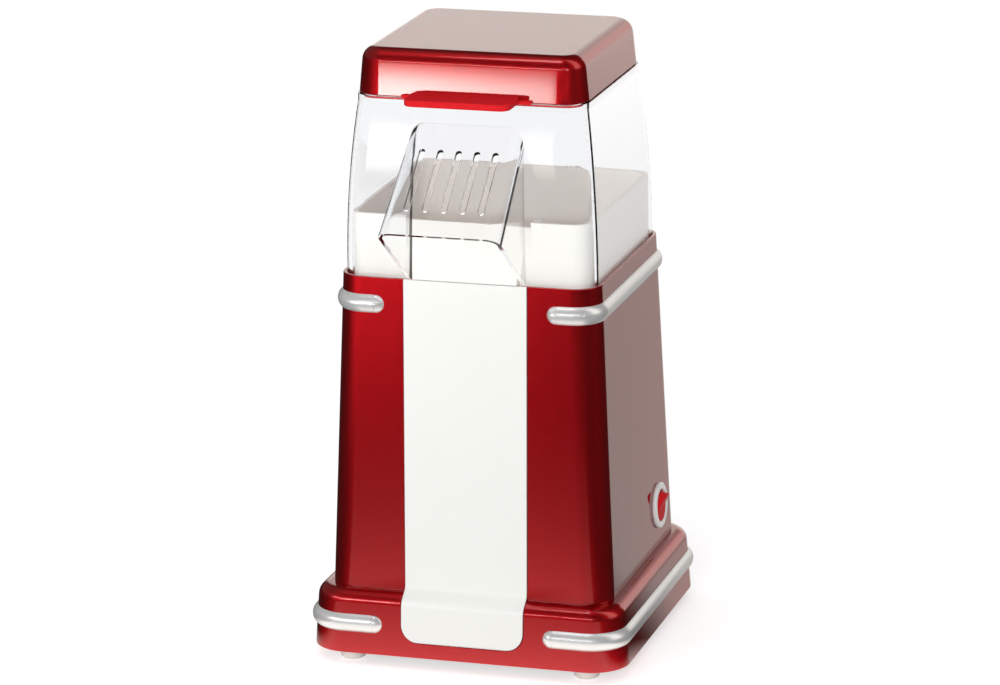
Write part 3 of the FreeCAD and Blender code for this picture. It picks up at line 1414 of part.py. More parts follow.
BLOCK_FACE = "(block_back - block_depth / 2)"
CLAMP_LEVEL = f"({PLATE_TOP} + block_height / 2)"
BLADE_X = f"({SWITCH_X} - (switch_depth + blade_length / 2) * cos({WALL_LEAN}))"
BLADE_LEVEL = f"({SWITCH_LEVEL} - (switch_depth + blade_length / 2) * sin({WALL_LEAN}))"
BLADE_EDGE = "(blade_pitch + blade_gauge)"
LEAD_Y = "(switch_back + blade_width / 4)"
BOARD_LOW = f"({BOARD_TOP} - board_thick)"
LEAD_BEND = "(4 * lead_radius)"
CLEAR_OF_BLOWER = "(sleeve_radius + blower_wall + 7 * lead_radius)"

make_lead("lead_switch", [
    ("block_length / 3", BLOCK_FACE, CLAMP_LEVEL),
    ("block_length / 3", f"{BLOCK_FACE} - 2 * {LEAD_BEND}", CLAMP_LEVEL),
    (BLADE_X, f"{BLOCK_FACE} - 2 * {LEAD_BEND}", CLAMP_LEVEL),
    (BLADE_X, LEAD_Y, f"{BLADE_LEVEL} - {BLADE_EDGE}"),
], LEAD_BEND)
make_lead("lead_thermostat", [
    (BLADE_X, LEAD_Y, f"{BLADE_LEVEL} + {BLADE_EDGE}"),
    (f"{CLEAR_OF_BLOWER} * cos(60)", f"{CLEAR_OF_BLOWER} * sin(60)", f"{BLOWER_TOP} + mica_height"),
    ("thermostat_radius + lead_radius", "sleeve_radius + thermostat_depth / 2", THERMOSTAT_LEVEL),
], LEAD_BEND)
make_lead("lead_motor", [
    ("0", BLOCK_FACE, CLAMP_LEVEL),
    ("0", "board_radius - 2 * lead_radius", CLAMP_LEVEL),
    ("0", "board_radius - 2 * lead_radius", BOARD_LOW),
], "1.5 * lead_radius")


# Checks before anything is written

doc.recompute()
for thing in doc.Objects:
    if "Invalid" in thing.State or "Error" in thing.State:
        raise RuntimeError(f"{thing.Label} failed: {thing.State}")
for thing in SUBPARTS:
    if thing.Shape.isNull() or not thing.Shape.isValid():
        raise RuntimeError(f"{thing.Label} has no valid shape")
    if any(solid.Volume <= 0 for solid in thing.Shape.Solids) or not thing.Shape.Solids:
        raise RuntimeError(f"{thing.Label} has no solid")

os.makedirs("parts", exist_ok=True)
for thing in SUBPARTS:
    thing.Shape.exportStep(f"parts/{thing.Label}.step")
print(f"{len(SUBPARTS)} sub-parts written")
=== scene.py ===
"""Looks of a hot-air popcorn maker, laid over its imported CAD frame.

The file is laid out as an add-on: sizes and colours are properties, each piece
or group of like pieces has an operator, and main() calls the operators in order.
All lengths are in metres, in the frame of the CAD model.
"""

import json
import math

import bmesh
import bpy
import numpy as np
from bpy.props import FloatProperty, FloatVectorProperty, IntProperty, PointerProperty
from mathutils import Matrix, Vector

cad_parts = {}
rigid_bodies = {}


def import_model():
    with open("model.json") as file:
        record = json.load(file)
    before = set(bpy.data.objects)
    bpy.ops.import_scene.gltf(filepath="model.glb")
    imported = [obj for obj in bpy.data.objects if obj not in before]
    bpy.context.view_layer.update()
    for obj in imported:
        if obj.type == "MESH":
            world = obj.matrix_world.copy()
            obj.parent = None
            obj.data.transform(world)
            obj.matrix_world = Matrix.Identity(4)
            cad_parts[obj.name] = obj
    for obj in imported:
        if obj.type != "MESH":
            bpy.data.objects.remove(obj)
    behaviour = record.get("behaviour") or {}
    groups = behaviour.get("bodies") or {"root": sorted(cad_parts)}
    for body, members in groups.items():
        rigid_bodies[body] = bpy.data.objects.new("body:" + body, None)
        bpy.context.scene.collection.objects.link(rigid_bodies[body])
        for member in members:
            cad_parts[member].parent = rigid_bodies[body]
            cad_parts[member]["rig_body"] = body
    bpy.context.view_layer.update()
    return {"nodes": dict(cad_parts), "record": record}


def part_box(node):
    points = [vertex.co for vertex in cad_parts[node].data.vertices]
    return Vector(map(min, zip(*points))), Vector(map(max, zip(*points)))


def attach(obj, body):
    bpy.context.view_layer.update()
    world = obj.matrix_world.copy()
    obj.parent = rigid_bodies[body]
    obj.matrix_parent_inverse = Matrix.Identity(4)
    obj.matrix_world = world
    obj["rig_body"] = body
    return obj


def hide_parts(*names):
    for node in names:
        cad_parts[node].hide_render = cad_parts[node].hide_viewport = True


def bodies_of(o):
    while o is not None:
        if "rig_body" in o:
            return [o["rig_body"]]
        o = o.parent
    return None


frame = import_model()

bl_info = {
    "name": "Popcorn maker looks",
    "version": (1, 0, 0),
    "blender": (4, 5, 0),
    "location": "View3D > Sidebar > Popcorn maker",
    "description": "Visible pieces, finishes and studio for a hot-air popcorn maker",
    "category": "Object",
}


def centre_of(node):
    """The middle of a CAD node's box."""
    low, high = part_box(node)
    return (low + high) / 2


MM = 0.001
SET_BACK = centre_of("plinth").y
TURN = 2 * math.pi
QUARTER = math.pi / 2
WHITE = (1.0, 1.0, 1.0, 1.0)
# Points nearer than MERGE become one, edges sharper than SHARP are rounded, a round has ROUND_STEPS segments
MERGE = 0.002 * MM
SHARP = math.radians(32.0)
ROUND_STEPS = 10


# Properties

def length(name, millimetres, description):
    """A length property with its default given in millimetres."""
    return FloatProperty(name=name, description=description, default=millimetres * MM,
                         unit="LENGTH", subtype="DISTANCE", precision=5)


def colour(name, red, green, blue, description):
    """A colour property, in linear light."""
    return FloatVectorProperty(name=name, description=description, default=(red, green, blue),
                               subtype="COLOR", min=0.0, max=1.0)


def strength(name, default, description):
    """A strength of light, where 1 shows as white."""
    return FloatProperty(name=name, description=description, default=default, min=0.0)


def power(name, watts, description):
    """The power of a lamp."""
    return FloatProperty(name=name, description=description, default=watts, unit="POWER", min=0.0)


class MakerSizes(bpy.types.PropertyGroup):
    """Sizes of the visible pieces."""
    edge_round: length("Edge round", 0.30, "Small round on the edges of the mouldings")
    lid_edge: length("Lid edge round", 0.60, "Small round on the edges of the lid and its tab")
    trim_edge: length("Trim edge round", 0.20, "Small round on the edges of the strips")
    switch_edge: length("Switch edge round", 0.15, "Small round on the edges of the switch")
    foot_edge: length("Foot edge round", 0.25, "Small round on the edges of the feet")
    plinth_width: length("Plinth width", 158.0, "Width of the plinth at its foot")
    plinth_depth: length("Plinth depth", 154.0, "Depth of the plinth at its foot")
    plinth_low: length("Plinth foot level", 6.0, "Level of the plinth's lower edge")
    plinth_top: length("Plinth top level", 36.4, "Level of the ledge that carries the body")
    plinth_corner: length("Plinth corner", 18.5, "Corner radius of the plinth at its foot")
    plinth_draft: length("Plinth draft", 2.4, "How far each wall of the plinth leans in over its height")
    plinth_wall: length("Plinth wall", 3.0, "Wall of the plinth")
    shoulder_round: length("Shoulder round", 6.0, "Radius of the plinth's upper edge")
    ledge_reach: length("Ledge reach", 8.0, "How far the ledge reaches inside the body's wall")
    body_width: length("Body width", 140.8, "Width of the body at its foot")
    body_depth: length("Body depth", 135.6, "Depth of the body at its foot")
    body_corner: length("Body corner", 14.0, "Corner radius of the body at its foot")
    body_top_width: length("Body top width", 128.4, "Width of the body at its rim")
    body_top_depth: length("Body top depth", 124.4, "Depth of the body at its rim")
    body_top_corner: length("Body top corner", 13.2, "Corner radius of the body at its rim")
    body_top: length("Body top level", 191.0, "Level of the body's rim")
    body_wall: length("Body wall", 2.5, "Wall of the body")
    rim_wall: length("Rim wall", 1.8, "Wall of the body at its rim, outside the hood")
    hood_seat: length("Hood seat", 5.0, "Depth of the seat for the hood")
    panel_width: length("Panel width", 61.0, "Width of the white front panel")
    panel_thick: length("Panel thickness", 1.6, "Thickness of the front panel")
    panel_proud: length("Panel stand-off", 0.7, "How far the panel stands out of the walls")
    panel_foot: length("Panel foot level", 13.7, "Level of the panel's lower edge")
    panel_corner: length("Panel corner", 8.5, "Radius of the panel's lower corners")
    panel_knee: length("Panel knee level", 38.4, "Level at which the panel leaves the body")
    panel_hip: length("Panel hip level", 33.4, "Level at which the panel joins the plinth")
    panel_bend: length("Panel bend", 3.5, "Radius of the panel's two bends")
    panel_gap: length("Panel gap", 0.35, "Gap round the panel in its recess")
    trim_radius: length("Trim radius", 5.3, "Radius of the silver strips")
    trim_proud: length("Trim stand-off", 2.4, "How far the strips stand out of the walls")
    trim_sink: length("Trim sink", 0.3, "How far the back of a strip sinks into the wall")
    trim_tip: length("Trim tip", 40.4, "Where the tips of the strips are, from the middle of the front")
    trim_seam: length("Trim seam", 0.18, "Depth of the seam before each tip of a strip")
    seam_width: length("Seam width", 0.60, "Width of the seam before each tip of a strip")
    trim_upper: length("Upper trim level", 178.0, "Level of the body's strips")
    trim_lower: length("Lower trim level", 20.8, "Level of the plinth's strips")
    lid_width: length("Lid width", 113.2, "Width of the lid at its edge")
    lid_depth: length("Lid depth", 109.2, "Depth of the lid at its edge")
    lid_low: length("Lid edge level", 277.8, "Level of the lid's lower edge")
    lid_top: length("Lid top level", 300.0, "Level of the lid's top")
    lid_corner: length("Lid corner", 13.0, "Corner radius of the lid at its edge")
    lid_draft: length("Lid draft", 2.2, "How far each wall of the lid leans in over its height")
    lid_round: length("Lid round", 7.0, "Radius of the lid's upper edge")
    lid_wall: length("Lid wall", 2.0, "Wall of the lid")
    lid_skirt: length("Lid skirt", 1.8, "How far the lid's skirt reaches into the hood")
    lid_seat: length("Lid seat", 4.0, "Height of the thick edge that sits on the hood")
    skirt_width: length("Skirt width", 107.4, "Width of the lid's skirt")
    skirt_depth: length("Skirt depth", 103.4, "Depth of the lid's skirt")
    skirt_corner: length("Skirt corner", 8.0, "Corner radius of the lid's skirt")
    tab_width: length("Tab width", 52.0, "Width of the lid's tab")
    tab_reach: length("Tab reach", 20.0, "How far the tab stands out of the lid")
    tab_thick: length("Tab thickness", 3.2, "Thickness of the tab")
    tab_corner: length("Tab corner", 5.0, "Corner radius of the tab")
    wing_width: length("Tab wing width", 64.0, "Width of the thin strip beside the tab's root")
    wing_reach: length("Tab wing reach", 2.5, "How far the thin strip stands out of the lid")
    wing_thick: length("Tab wing thickness", 1.6, "Thickness of the thin strip")
    foot_radius: length("Foot radius", 6.2, "Radius of a rubber foot")
    foot_round: length("Foot round", 1.2, "Round of a rubber foot's lower edge")
    corner_steps: IntProperty(name="Corner steps", description="Segments in a quarter turn of a corner",
                              default=14, min=4, max=48)


class MakerColours(bpy.types.PropertyGroup):
    """Colours of the finishes, in linear light."""
    paint_deep: colour("Paint deep", 0.60, 0.005, 0.010, "Red paint between its flakes")
    paint_bright: colour("Paint bright", 0.84, 0.014, 0.023, "Red paint on its flakes")
    panel: colour("Panel", 0.89, 0.89, 0.855, "White front panel")
    liner: colour("Liner", 0.96, 0.95, 0.90, "Cream liner under the hood")
    silver: colour("Silver", 0.96, 0.96, 0.96, "Satin silver strips")
    rubber: colour("Rubber", 0.94, 0.92, 0.87, "Pale rubber feet")
    bezel: colour("Bezel", 0.90, 0.90, 0.90, "White switch housing")
    rocker: colour("Rocker", 0.70, 0.015, 0.021, "Red rocker and tab")
    clear: colour("Clear", 0.955, 0.96, 0.97, "Clear hood")
    floor: colour("Floor", 0.80, 0.80, 0.80, "Pale floor")


class StudioLight(bpy.types.PropertyGroup):
    """Strengths of the studio's lamps and surround."""
    surround: strength("Surround", 0.58, "Soft light from all sides")
    dark: strength("Dark studio", 0.03, "The studio's dark sides, as seen in gloss")
    backdrop: strength("Backdrop", 1.5, "The backdrop far behind, as seen in gloss")
    tint: colour("Gloss tint", 1.0, 0.95, 0.89, "Colour of the backdrop and the sweep, as seen in gloss")
    glow: strength("Left glow", 0.15, "The large dim light at the left, as seen in gloss")
    band: strength("Right glow", 1.3, "The light at the right, as seen in gloss")
    sweep: strength("Sweep", 0.8, "The white sweep, as seen in gloss")
    apron: strength("Apron", 1.3, "The white sweep before the object, as seen in gloss")
    sweep_half: length("Sweep half width", 75.0, "Half width of the white sweep at the object")
    sweep_slope: FloatProperty(name="Sweep slope", default=0.51, min=0.0,
                               description="How much the white sweep widens away from the object")
    sweep_fade: length("Sweep fade", 155.0, "How far in front of the object the white sweep fades")
    softbox: power("Softbox", 0.0132, "Narrow softbox at the front left, aimed at the lid")
    kicker: power("Kicker", 0.011, "Narrow lamp at the front right, aimed at the lid")
    flank: power("Flank", 0.18, "Low strip lamp near the front left")
    strip: power("Strip", 5.5, "Wide lamp in front that the silver strips reflect")
    overhead: power("Overhead", 0.9, "Softbox above the object")
    fill: power("Fill", 15.0, "Lamp that fills the front and shows in no gloss")


def sizes():
    """The sizes that the user sets."""
    return bpy.context.scene.maker_sizes


def colours():
    """The colours that the user sets."""
    return bpy.context.scene.maker_colours


# Shapes worked out on grids of points

def rounded_rings(width, depth, corner, steps):
    """Rounded rectangles, one to a row, as two arrays of x and y.

    Each quarter is a circle of the row's corner radius about the point that lies one radius in
    from both sides.  A row starts at the left end of the front-left corner and runs anticlockwise.
    """
    turn = np.linspace(0.0, QUARTER, steps + 1)
    angle = np.concatenate([start * QUARTER + turn for start in (2, 3, 0, 1)])
    side = np.repeat([-1.0, 1.0, 1.0, -1.0], steps + 1)
    end = np.repeat([-1.0, -1.0, 1.0, 1.0], steps + 1)
    width, depth, corner = (np.asarray(size, float)[:, None] for size in (width, depth, corner))
    x = side * (width / 2 - corner) + corner * np.cos(angle)
    y = end * (depth / 2 - corner) + corner * np.sin(angle)
    return x, y


def walled_grid(rows, steps):
    """Points of a wall whose rows are (width, depth, corner, level): rounded rectangles at levels."""
    rows = np.asarray(rows, float)
    x, y = rounded_rings(rows[:, 0], rows[:, 1], rows[:, 2], steps)
    z = np.repeat(rows[:, 3:4], x.shape[1], axis=1)
    return np.stack([x, y + SET_BACK, z], axis=-1)


def recessed_grid(rows, steps):
    """As walled_grid, for rows (width, depth, corner, level, half, cut) with a recess in front.

    Four more columns stand on the front face: two at each edge of the recess, half its width from
    the middle, one on the face and one pushed in by the cut.
    """
    rows = np.asarray(rows, float)
    grid = walled_grid(rows[:, :4], steps)
    half = rows[:, 4]
    face = grid[:, steps, 1]
    floor = face + rows[:, 5]
    level = rows[:, 3]
    columns = [np.stack([x, y, level], axis=-1) for x, y in
               ((-half, face), (-half, floor), (half, floor), (half, face))]
    return np.concatenate([grid[:, :steps + 1], np.stack(columns, axis=1), grid[:, steps + 1:]], axis=1)


def turned_grid(profile, steps):
    """Points of a body of revolution: the profile's (radius, height) rows turned about +Z."""
    profile = np.asarray(profile, float)
    angle = np.linspace(0.0, TURN, steps, endpoint=False)
    x = profile[:, :1] * np.cos(angle)
    y = profile[:, :1] * np.sin(angle)
    z = np.repeat(profile[:, 1:2], steps, axis=1)
    return np.stack([x, y, z], axis=-1)


def arc(centre, radius, start, end, steps):
    """Points of a circle's arc in a plane, from one angle to another."""
    angle = np.linspace(start, end, steps + 1)
    return np.stack([centre[0] + radius * np.cos(angle), centre[1] + radius * np.sin(angle)], axis=-1)


def bent_line(points, radii, steps):
    """A line through points in a plane whose inner corners are arcs of the given radii.

    The arc of a corner touches both runs at radius times the tangent of half the turn, and its
    points are found by sweeping from the first run's direction to the second's.
    """
    points = np.asarray(points, float)
    line = [points[:1]]
    for before, corner, after, radius in zip(points[:-2], points[1:-1], points[2:], radii):
        first = (corner - before) / np.linalg.norm(corner - before)
        second = (after - corner) / np.linalg.norm(after - corner)
        cross = first[0] * second[1] - first[1] * second[0]
        turn = math.atan2(cross, float(first @ second))
        start = corner - first * radius * math.tan(abs(turn) / 2)
        across = np.array([-first[1], first[0]]) * math.copysign(1.0, turn)
        swing = np.linspace(0.0, abs(turn), steps + 1)[:, None]
        line.append(start + first * radius * np.sin(swing) + across * radius * (1 - np.cos(swing)))
    line.append(points[-1:])
    return np.concatenate(line)


def rounded_profile(inset_per_rise, low, top, radius, steps):
    """Inset and level along a leaning wall and the round at its top.

    The round's centre lies one radius below the top and one radius inside the wall, measured
    square to it, and the arc runs from the wall's own direction to level.
    """
    lean = math.atan(inset_per_rise)
    centre_z = top - radius
    centre_s = inset_per_rise * (centre_z - low) + radius / math.cos(lean)
    angle = np.linspace(lean, QUARTER, steps + 1)
    inset = np.concatenate([[0.0], centre_s - radius * np.cos(angle)])
    level = np.concatenate([[low], centre_z + radius * np.sin(angle)])
    return inset, level


def linked(name, data):
    """A new object with its data, linked to the scene."""
    made = bpy.data.objects.new(name, data)
    bpy.context.scene.collection.objects.link(made)
    return made


class Weave:
    """Collects grids of points for one piece and weaves faces between their rows and columns."""

    def __init__(self, grid, **ways):
        self.points = []
        self.faces = []
        self.count = 0
        self.add(grid, **ways)

    def add(self, grid, loop=False, caps=False, turned=False):
        """Add a grid that closes round its columns.

        Loop joins the last row to the first, caps close both ends with one face each, and turned
        is for a grid whose columns run clockwise.
        """
        rows, columns = grid.shape[:2]
        index = np.arange(rows * columns).reshape(rows, columns) + self.count
        ends = [index[0, ::-1], index[-1]]
        index = np.hstack([index, index[:, :1]])
        if loop:
            index = np.vstack([index, index[:1]])
        quads = np.stack([index[:-1, :-1], index[:-1, 1:], index[1:, 1:], index[1:, :-1]], axis=-1)
        faces = list(quads.reshape(-1, 4))
        if caps:
            faces += ends
        self.faces += [face[::-1].tolist() if turned else face.tolist() for face in faces]
        self.points.append(grid.reshape(-1, 3))
        self.count += rows * columns

    def mesh(self, name):
        """The woven mesh."""
        made = bpy.data.meshes.new(name)
        made.from_pydata(np.concatenate(self.points), [], self.faces)
        return made

    def piece(self, name, slot, *nodes):
        """Make the piece: merge doubles, shade it smooth, and let it ride and stand for its nodes."""
        mesh = self.mesh(name)
        work = bmesh.new()
        work.from_mesh(mesh)
        bmesh.ops.remove_doubles(work, verts=work.verts, dist=MERGE)
        work.to_mesh(mesh)
        work.free()
        mesh.shade_smooth()
        mesh.materials.append(finish(slot))
        made = linked(name, mesh)
        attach(made, body_of(nodes[0]))
        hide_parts(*nodes)
        return made


def body_of(node):
    """The body that carries a CAD node."""
    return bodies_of(frame["nodes"][node])[0]


def soften(piece, width, segments=3, clamp=False):
    """Round a piece's sharp edges, then let the large faces rule the shading."""
    bevel = piece.modifiers.new("edge_round", "BEVEL")
    bevel.width = width
    bevel.segments = segments
    bevel.limit_method = "ANGLE"
    bevel.angle_limit = SHARP
    bevel.use_clamp_overlap = clamp
    weighted = piece.modifiers.new("even_shading", "WEIGHTED_NORMAL")
    weighted.mode = "FACE_AREA"
    weighted.weight = 50
    return piece


def bored(piece, place, direction, radius, reach):
    """Cut a round hole through a piece, along a direction from a place, both ways by the reach."""
    grid = turned_grid([(radius, -reach), (radius, reach)], steps=48)
    turn = np.array(Vector(direction).to_track_quat("Z", "Y").to_matrix())
    mesh = Weave(grid @ turn.T + np.array(place), caps=True).mesh("drill")
    tool = linked("drill", mesh)
    cut = piece.modifiers.new("bore", "BOOLEAN")
    cut.operation = "DIFFERENCE"
    cut.solver = "EXACT"
    cut.object = tool
    bpy.context.view_layer.update()
    graph = bpy.context.evaluated_depsgraph_get()
    made = bpy.data.meshes.new_from_object(piece.evaluated_get(graph))
    piece.modifiers.clear()
    old = piece.data
    piece.data = made
    made.name = piece.name
    bpy.data.objects.remove(tool)
    bpy.data.meshes.remove(mesh)
    bpy.data.meshes.remove(old)
    return piece


# Sections of the mouldings

def drawn_in(width, depth, corner, level, inset):
    """Width, depth, corner and level of a wall's row, drawn in on all sides by an inset."""
    return width - 2 * inset, depth - 2 * inset, corner - inset, level


def plinth_row(level, inset=0.0):
    """Width, depth, corner and level of the plinth's outside, drawn in by an inset."""
    s = sizes()
    draw = s.plinth_draft * (level - s.plinth_low) / (s.plinth_top - s.plinth_low) + inset
    return drawn_in(s.plinth_width, s.plinth_depth, s.plinth_corner, level, draw)


def body_row(level, inset=0.0):
    """Width, depth, corner and level of the body's outside, drawn in by an inset."""
    s = sizes()
    share = (level - s.plinth_top) / (s.body_top - s.plinth_top)
    width = s.body_width + (s.body_top_width - s.body_width) * share
    depth = s.body_depth + (s.body_top_depth - s.body_depth) * share
    corner = s.body_corner + (s.body_top_corner - s.body_corner) * share
    return drawn_in(width, depth, corner, level, inset)


def panel_line(shift, knee_bend, hip_bend):
    """Reach in front and level along the panel, from its foot up, pushed out by the shift."""
    s = sizes()
    stations = [
        (plinth_row(s.panel_foot)[1] / 2 + shift, s.panel_foot),
        (plinth_row(s.panel_hip)[1] / 2 + shift, s.panel_hip),
        (body_row(s.panel_knee)[1] / 2 + shift, s.panel_knee),
        (s.body_top_depth / 2 + shift, s.body_top),
    ]
    return bent_line(stations, (hip_bend, knee_bend), ROUND_STEPS)


def panel_faces():
    """The panel's front and back lines, with the same number of points."""
    s = sizes()
    front = panel_line(s.panel_proud, s.panel_bend, s.panel_bend + s.panel_thick)
    back = panel_line(s.panel_proud - s.panel_thick, s.panel_bend + s.panel_thick, s.panel_bend)
    return front, back


def recess_cut(row):
    """How deep the panel's recess is in a wall's row: down to the panel's back.

    A cut shallower than the edge round is left out, because its edges could not be rounded.
    """
    back = panel_faces()[1]
    cut = row[1] / 2 - float(np.interp(row[3], back[:, 1], back[:, 0]))
    return cut if cut > sizes().edge_round else 0.0


# Finishes

def dress(tree, node, values):
    """Fill or link the inputs of a node."""
    for key, value in values.items():
        if isinstance(value, bpy.types.NodeSocket):
            tree.links.new(value, node.inputs[key])
        else:
            node.inputs[key].default_value = value
    return node


def add(tree, kind, inputs=None, **settings):
    """Add a node, set it up, and fill or link its inputs."""
    made = tree.nodes.new(kind)
    for key, value in settings.items():
        setattr(made, key, value)
    return dress(tree, made, inputs or {})


def maths(tree, operation, first, second=0.0, clamp=False):
    """A Math node's result."""
    node = add(tree, "ShaderNodeMath", {0: first, 1: second}, operation=operation, use_clamp=clamp)
    return node.outputs[0]


def vectors(tree, operation, inputs):
    """A Vector Math node's result."""
    return add(tree, "ShaderNodeVectorMath", inputs, operation=operation).outputs[0]


def span(tree, value, low, high):
    """A value of 0 to 1 spread over a range."""
    return add(tree, "ShaderNodeMapRange", {"Value": value, "To Min": low, "To Max": high}).outputs[0]


def ramp(tree, value, start, end, low=0.0, high=1.0):
    """A smooth step from low to high as a value goes from start to end."""
    limits = {"Value": value, "From Min": start, "From Max": end, "To Min": low, "To Max": high}
    return add(tree, "ShaderNodeMapRange", limits, interpolation_type="SMOOTHSTEP").outputs[0]


def looked_at(tree, path):
    """One for a ray from the eye, straight or through clear plastic."""
    return maths(tree, "MAXIMUM", path["Is Camera Ray"], path["Is Transmission Ray"])


def mirrored(tree, path):
    """One for a ray that a gloss has thrown back, nought for one that clear plastic has let through."""
    return maths(tree, "SUBTRACT", path["Is Glossy Ray"], path["Is Transmission Ray"], clamp=True)


def mixed(tree, share, first, second):
    """Two colours mixed by a share."""
    return add(tree, "ShaderNodeMix", {0: share, 6: first, 7: second}, data_type="RGBA").outputs[2]


def full(linear, scale=1.0):
    """A colour with its alpha, scaled."""
    return (linear[0] * scale, linear[1] * scale, linear[2] * scale, 1.0)


def own_place(tree):
    """A piece's own coordinates."""
    return add(tree, "ShaderNodeTexCoord").outputs["Object"]


def noise(tree, where, scale, detail):
    """Cloudy noise of 0 to 1."""
    return add(tree, "ShaderNodeTexNoise", {"Vector": where, "Scale": scale, "Detail": detail}).outputs[0]


def effect(tree, name, values, outputs, fill):
    """Place a shared effect in a tree with its own values, and give its outputs.

    An effect is a node group with named inputs and outputs, filled by a function at its first use.
    """
    group = bpy.data.node_groups.get(name)
    if group is None:
        group = bpy.data.node_groups.new(name, "ShaderNodeTree")
        for label, value in values.items():
            socket = group.interface.new_socket(label, in_out="INPUT", socket_type="NodeSocketFloat")
            socket.default_value = value
        for label, kind in outputs.items():
            group.interface.new_socket(label, in_out="OUTPUT", socket_type=f"NodeSocket{kind}")
        enter = group.nodes.new("NodeGroupInput").outputs
        leave = group.nodes.new("NodeGroupOutput").inputs
        for label, socket in fill(group, enter).items():
            group.links.new(socket, leave[label])
    return add(tree, "ShaderNodeGroup", values, node_tree=group).outputs


def fill_unevenness(group, enter):
    """Slow and fine noise on the piece's own coordinates."""
    where = own_place(group)
    return {"Slow": noise(group, where, enter["Slow scale"], 2.0),
            "Fine": noise(group, where, enter["Fine scale"], 3.0)}


def unevenness(tree, slow, fine):
    """Place the shared unevenness in a material."""
    values = {"Slow scale": slow, "Fine scale": fine}
    return effect(tree, "unevenness", values, {"Slow": "Float", "Fine": "Float"}, fill_unevenness)


def fill_flake(group, enter):
    """Small cells, each with its own brightness and its own slight tilt of the normal."""
    cells = add(group, "ShaderNodeTexVoronoi", {"Vector": own_place(group), "Scale": enter["Scale"]})
    own = cells.outputs["Color"]
    centred = vectors(group, "SUBTRACT", {0: own, 1: (0.5, 0.5, 0.5)})
    tilt = vectors(group, "SCALE", {0: centred, "Scale": enter["Tilt"]})
    normal = add(group, "ShaderNodeNewGeometry").outputs["Normal"]
    leaned = vectors(group, "ADD", {0: normal, 1: tilt})
    parts = add(group, "ShaderNodeSeparateColor", {0: own}).outputs
    return {"Sparkle": parts[0], "Normal": vectors(group, "NORMALIZE", {0: leaned})}


def flake(tree, scale, tilt):
    """Place the shared metal flake in a material."""
    values = {"Scale": scale, "Tilt": tilt}
    return effect(tree, "metal_flake", values, {"Sparkle": "Float", "Normal": "Vector"}, fill_flake)


def fill_edge(group, enter):
    """Edges that stand out, from the pointiness of the mesh, broken up by noise."""
    point = add(group, "ShaderNodeNewGeometry").outputs["Pointiness"]
    limits = {"Value": point, "From Min": 0.52, "From Max": 0.60}
    sharp = add(group, "ShaderNodeMapRange", limits).outputs[0]
    worn = maths(group, "MULTIPLY", sharp, noise(group, own_place(group), 260.0, 4.0))
    return {"Mask": maths(group, "MULTIPLY", worn, enter["Amount"], clamp=True)}


def edge_wear(tree, amount):
    """Place the shared edge wear in a material."""
    return effect(tree, "edge_wear", {"Amount": amount}, {"Mask": "Float"}, fill_edge)["Mask"]


def fill_brushing(group, enter):
    """Fine lines round the upright axis, as rolled or turned metal has: noise squeezed in height."""
    squeeze = {"Vector": own_place(group), "Scale": (40.0, 40.0, 2600.0)}
    squeezed = add(group, "ShaderNodeMapping", squeeze).outputs[0]
    return {"Lines": noise(group, squeezed, enter["Scale"], 3.0)}


def brushing(tree, scale):
    """Place the shared brushing in a material."""
    return effect(tree, "brushing", {"Scale": scale}, {"Lines": "Float"}, fill_brushing)["Lines"]


def blank(name):
    """A new material with its tree and its main shader."""
    made = bpy.data.materials.new(name)
    made.use_nodes = True
    tree = made.node_tree
    return made, tree, tree.nodes["Principled BSDF"]


def bumped(tree, height, depth, normal=None):
    """A normal bumped by a height of 0 to 1 over a depth."""
    inputs = {"Height": height, "Distance": depth, "Strength": 1.0}
    if normal is not None:
        inputs["Normal"] = normal
    return add(tree, "ShaderNodeBump", inputs).outputs[0]


def red_paint(name):
    """Candy red: a metal flake under a clear coat."""
    made, tree, shader = blank(name)
    c = colours()
    spark = flake(tree, scale=9000.0, tilt=0.12)
    wave = unevenness(tree, slow=9.0, fine=420.0)
    tone = mixed(tree, spark["Sparkle"], full(c.paint_deep), full(c.paint_bright))
    worn = mixed(tree, edge_wear(tree, 0.25), tone, full(c.paint_bright, 1.25))
    dress(tree, shader, {
        "Base Color": worn,
        "Metallic": 0.95,
        "Roughness": span(tree, wave["Slow"], 0.38, 0.43),
        "Normal": spark["Normal"],
        "Coat Weight": 1.0,
        "Coat Roughness": 0.04,
        "Coat IOR": 1.55,
        "Specular Tint": (0.0, 0.0, 0.0, 1.0),
    })
    return made


def moulded(name, tint, roughness, grain=0.015, fine=1500.0, shade=0.94, coat=0.0, wear=0.15, gloss=0.5):
    """Moulded plastic or rubber: slow shade, fine grain and slightly paler edges."""
    made, tree, shader = blank(name)
    wave = unevenness(tree, slow=14.0, fine=fine)
    tone = mixed(tree, wave["Slow"], full(tint, shade), full(tint))
    worn = mixed(tree, edge_wear(tree, wear), tone, full([min(1.0, v * 1.2 + 0.02) for v in tint]))
    dress(tree, shader, {
        "Base Color": worn,
        "Roughness": span(tree, wave["Slow"], roughness - 0.05, roughness + 0.05),
        "Normal": bumped(tree, wave["Fine"], grain * MM),
        "Specular IOR Level": gloss,
        "Coat Weight": coat,
        "Coat Roughness": 0.12,
    })
    return made


def metal(name, tint, roughness, lines=1.0, depth=0.004, shade=0.86, wear=0.4):
    """Drawn, rolled or turned metal with fine lines round the upright axis."""
    made, tree, shader = blank(name)
    wave = unevenness(tree, slow=22.0, fine=1200.0)
    stroke = brushing(tree, lines)
    tone = mixed(tree, wave["Slow"], full(tint, shade), full(tint))
    worn = mixed(tree, edge_wear(tree, wear), tone, full([min(1.0, v * 1.15) for v in tint]))
    dress(tree, shader, {
        "Base Color": worn,
        "Metallic": 1.0,
        "Roughness": span(tree, stroke, roughness - 0.06, roughness + 0.10),
        "Normal": bumped(tree, stroke, depth * MM),
    })
    return made


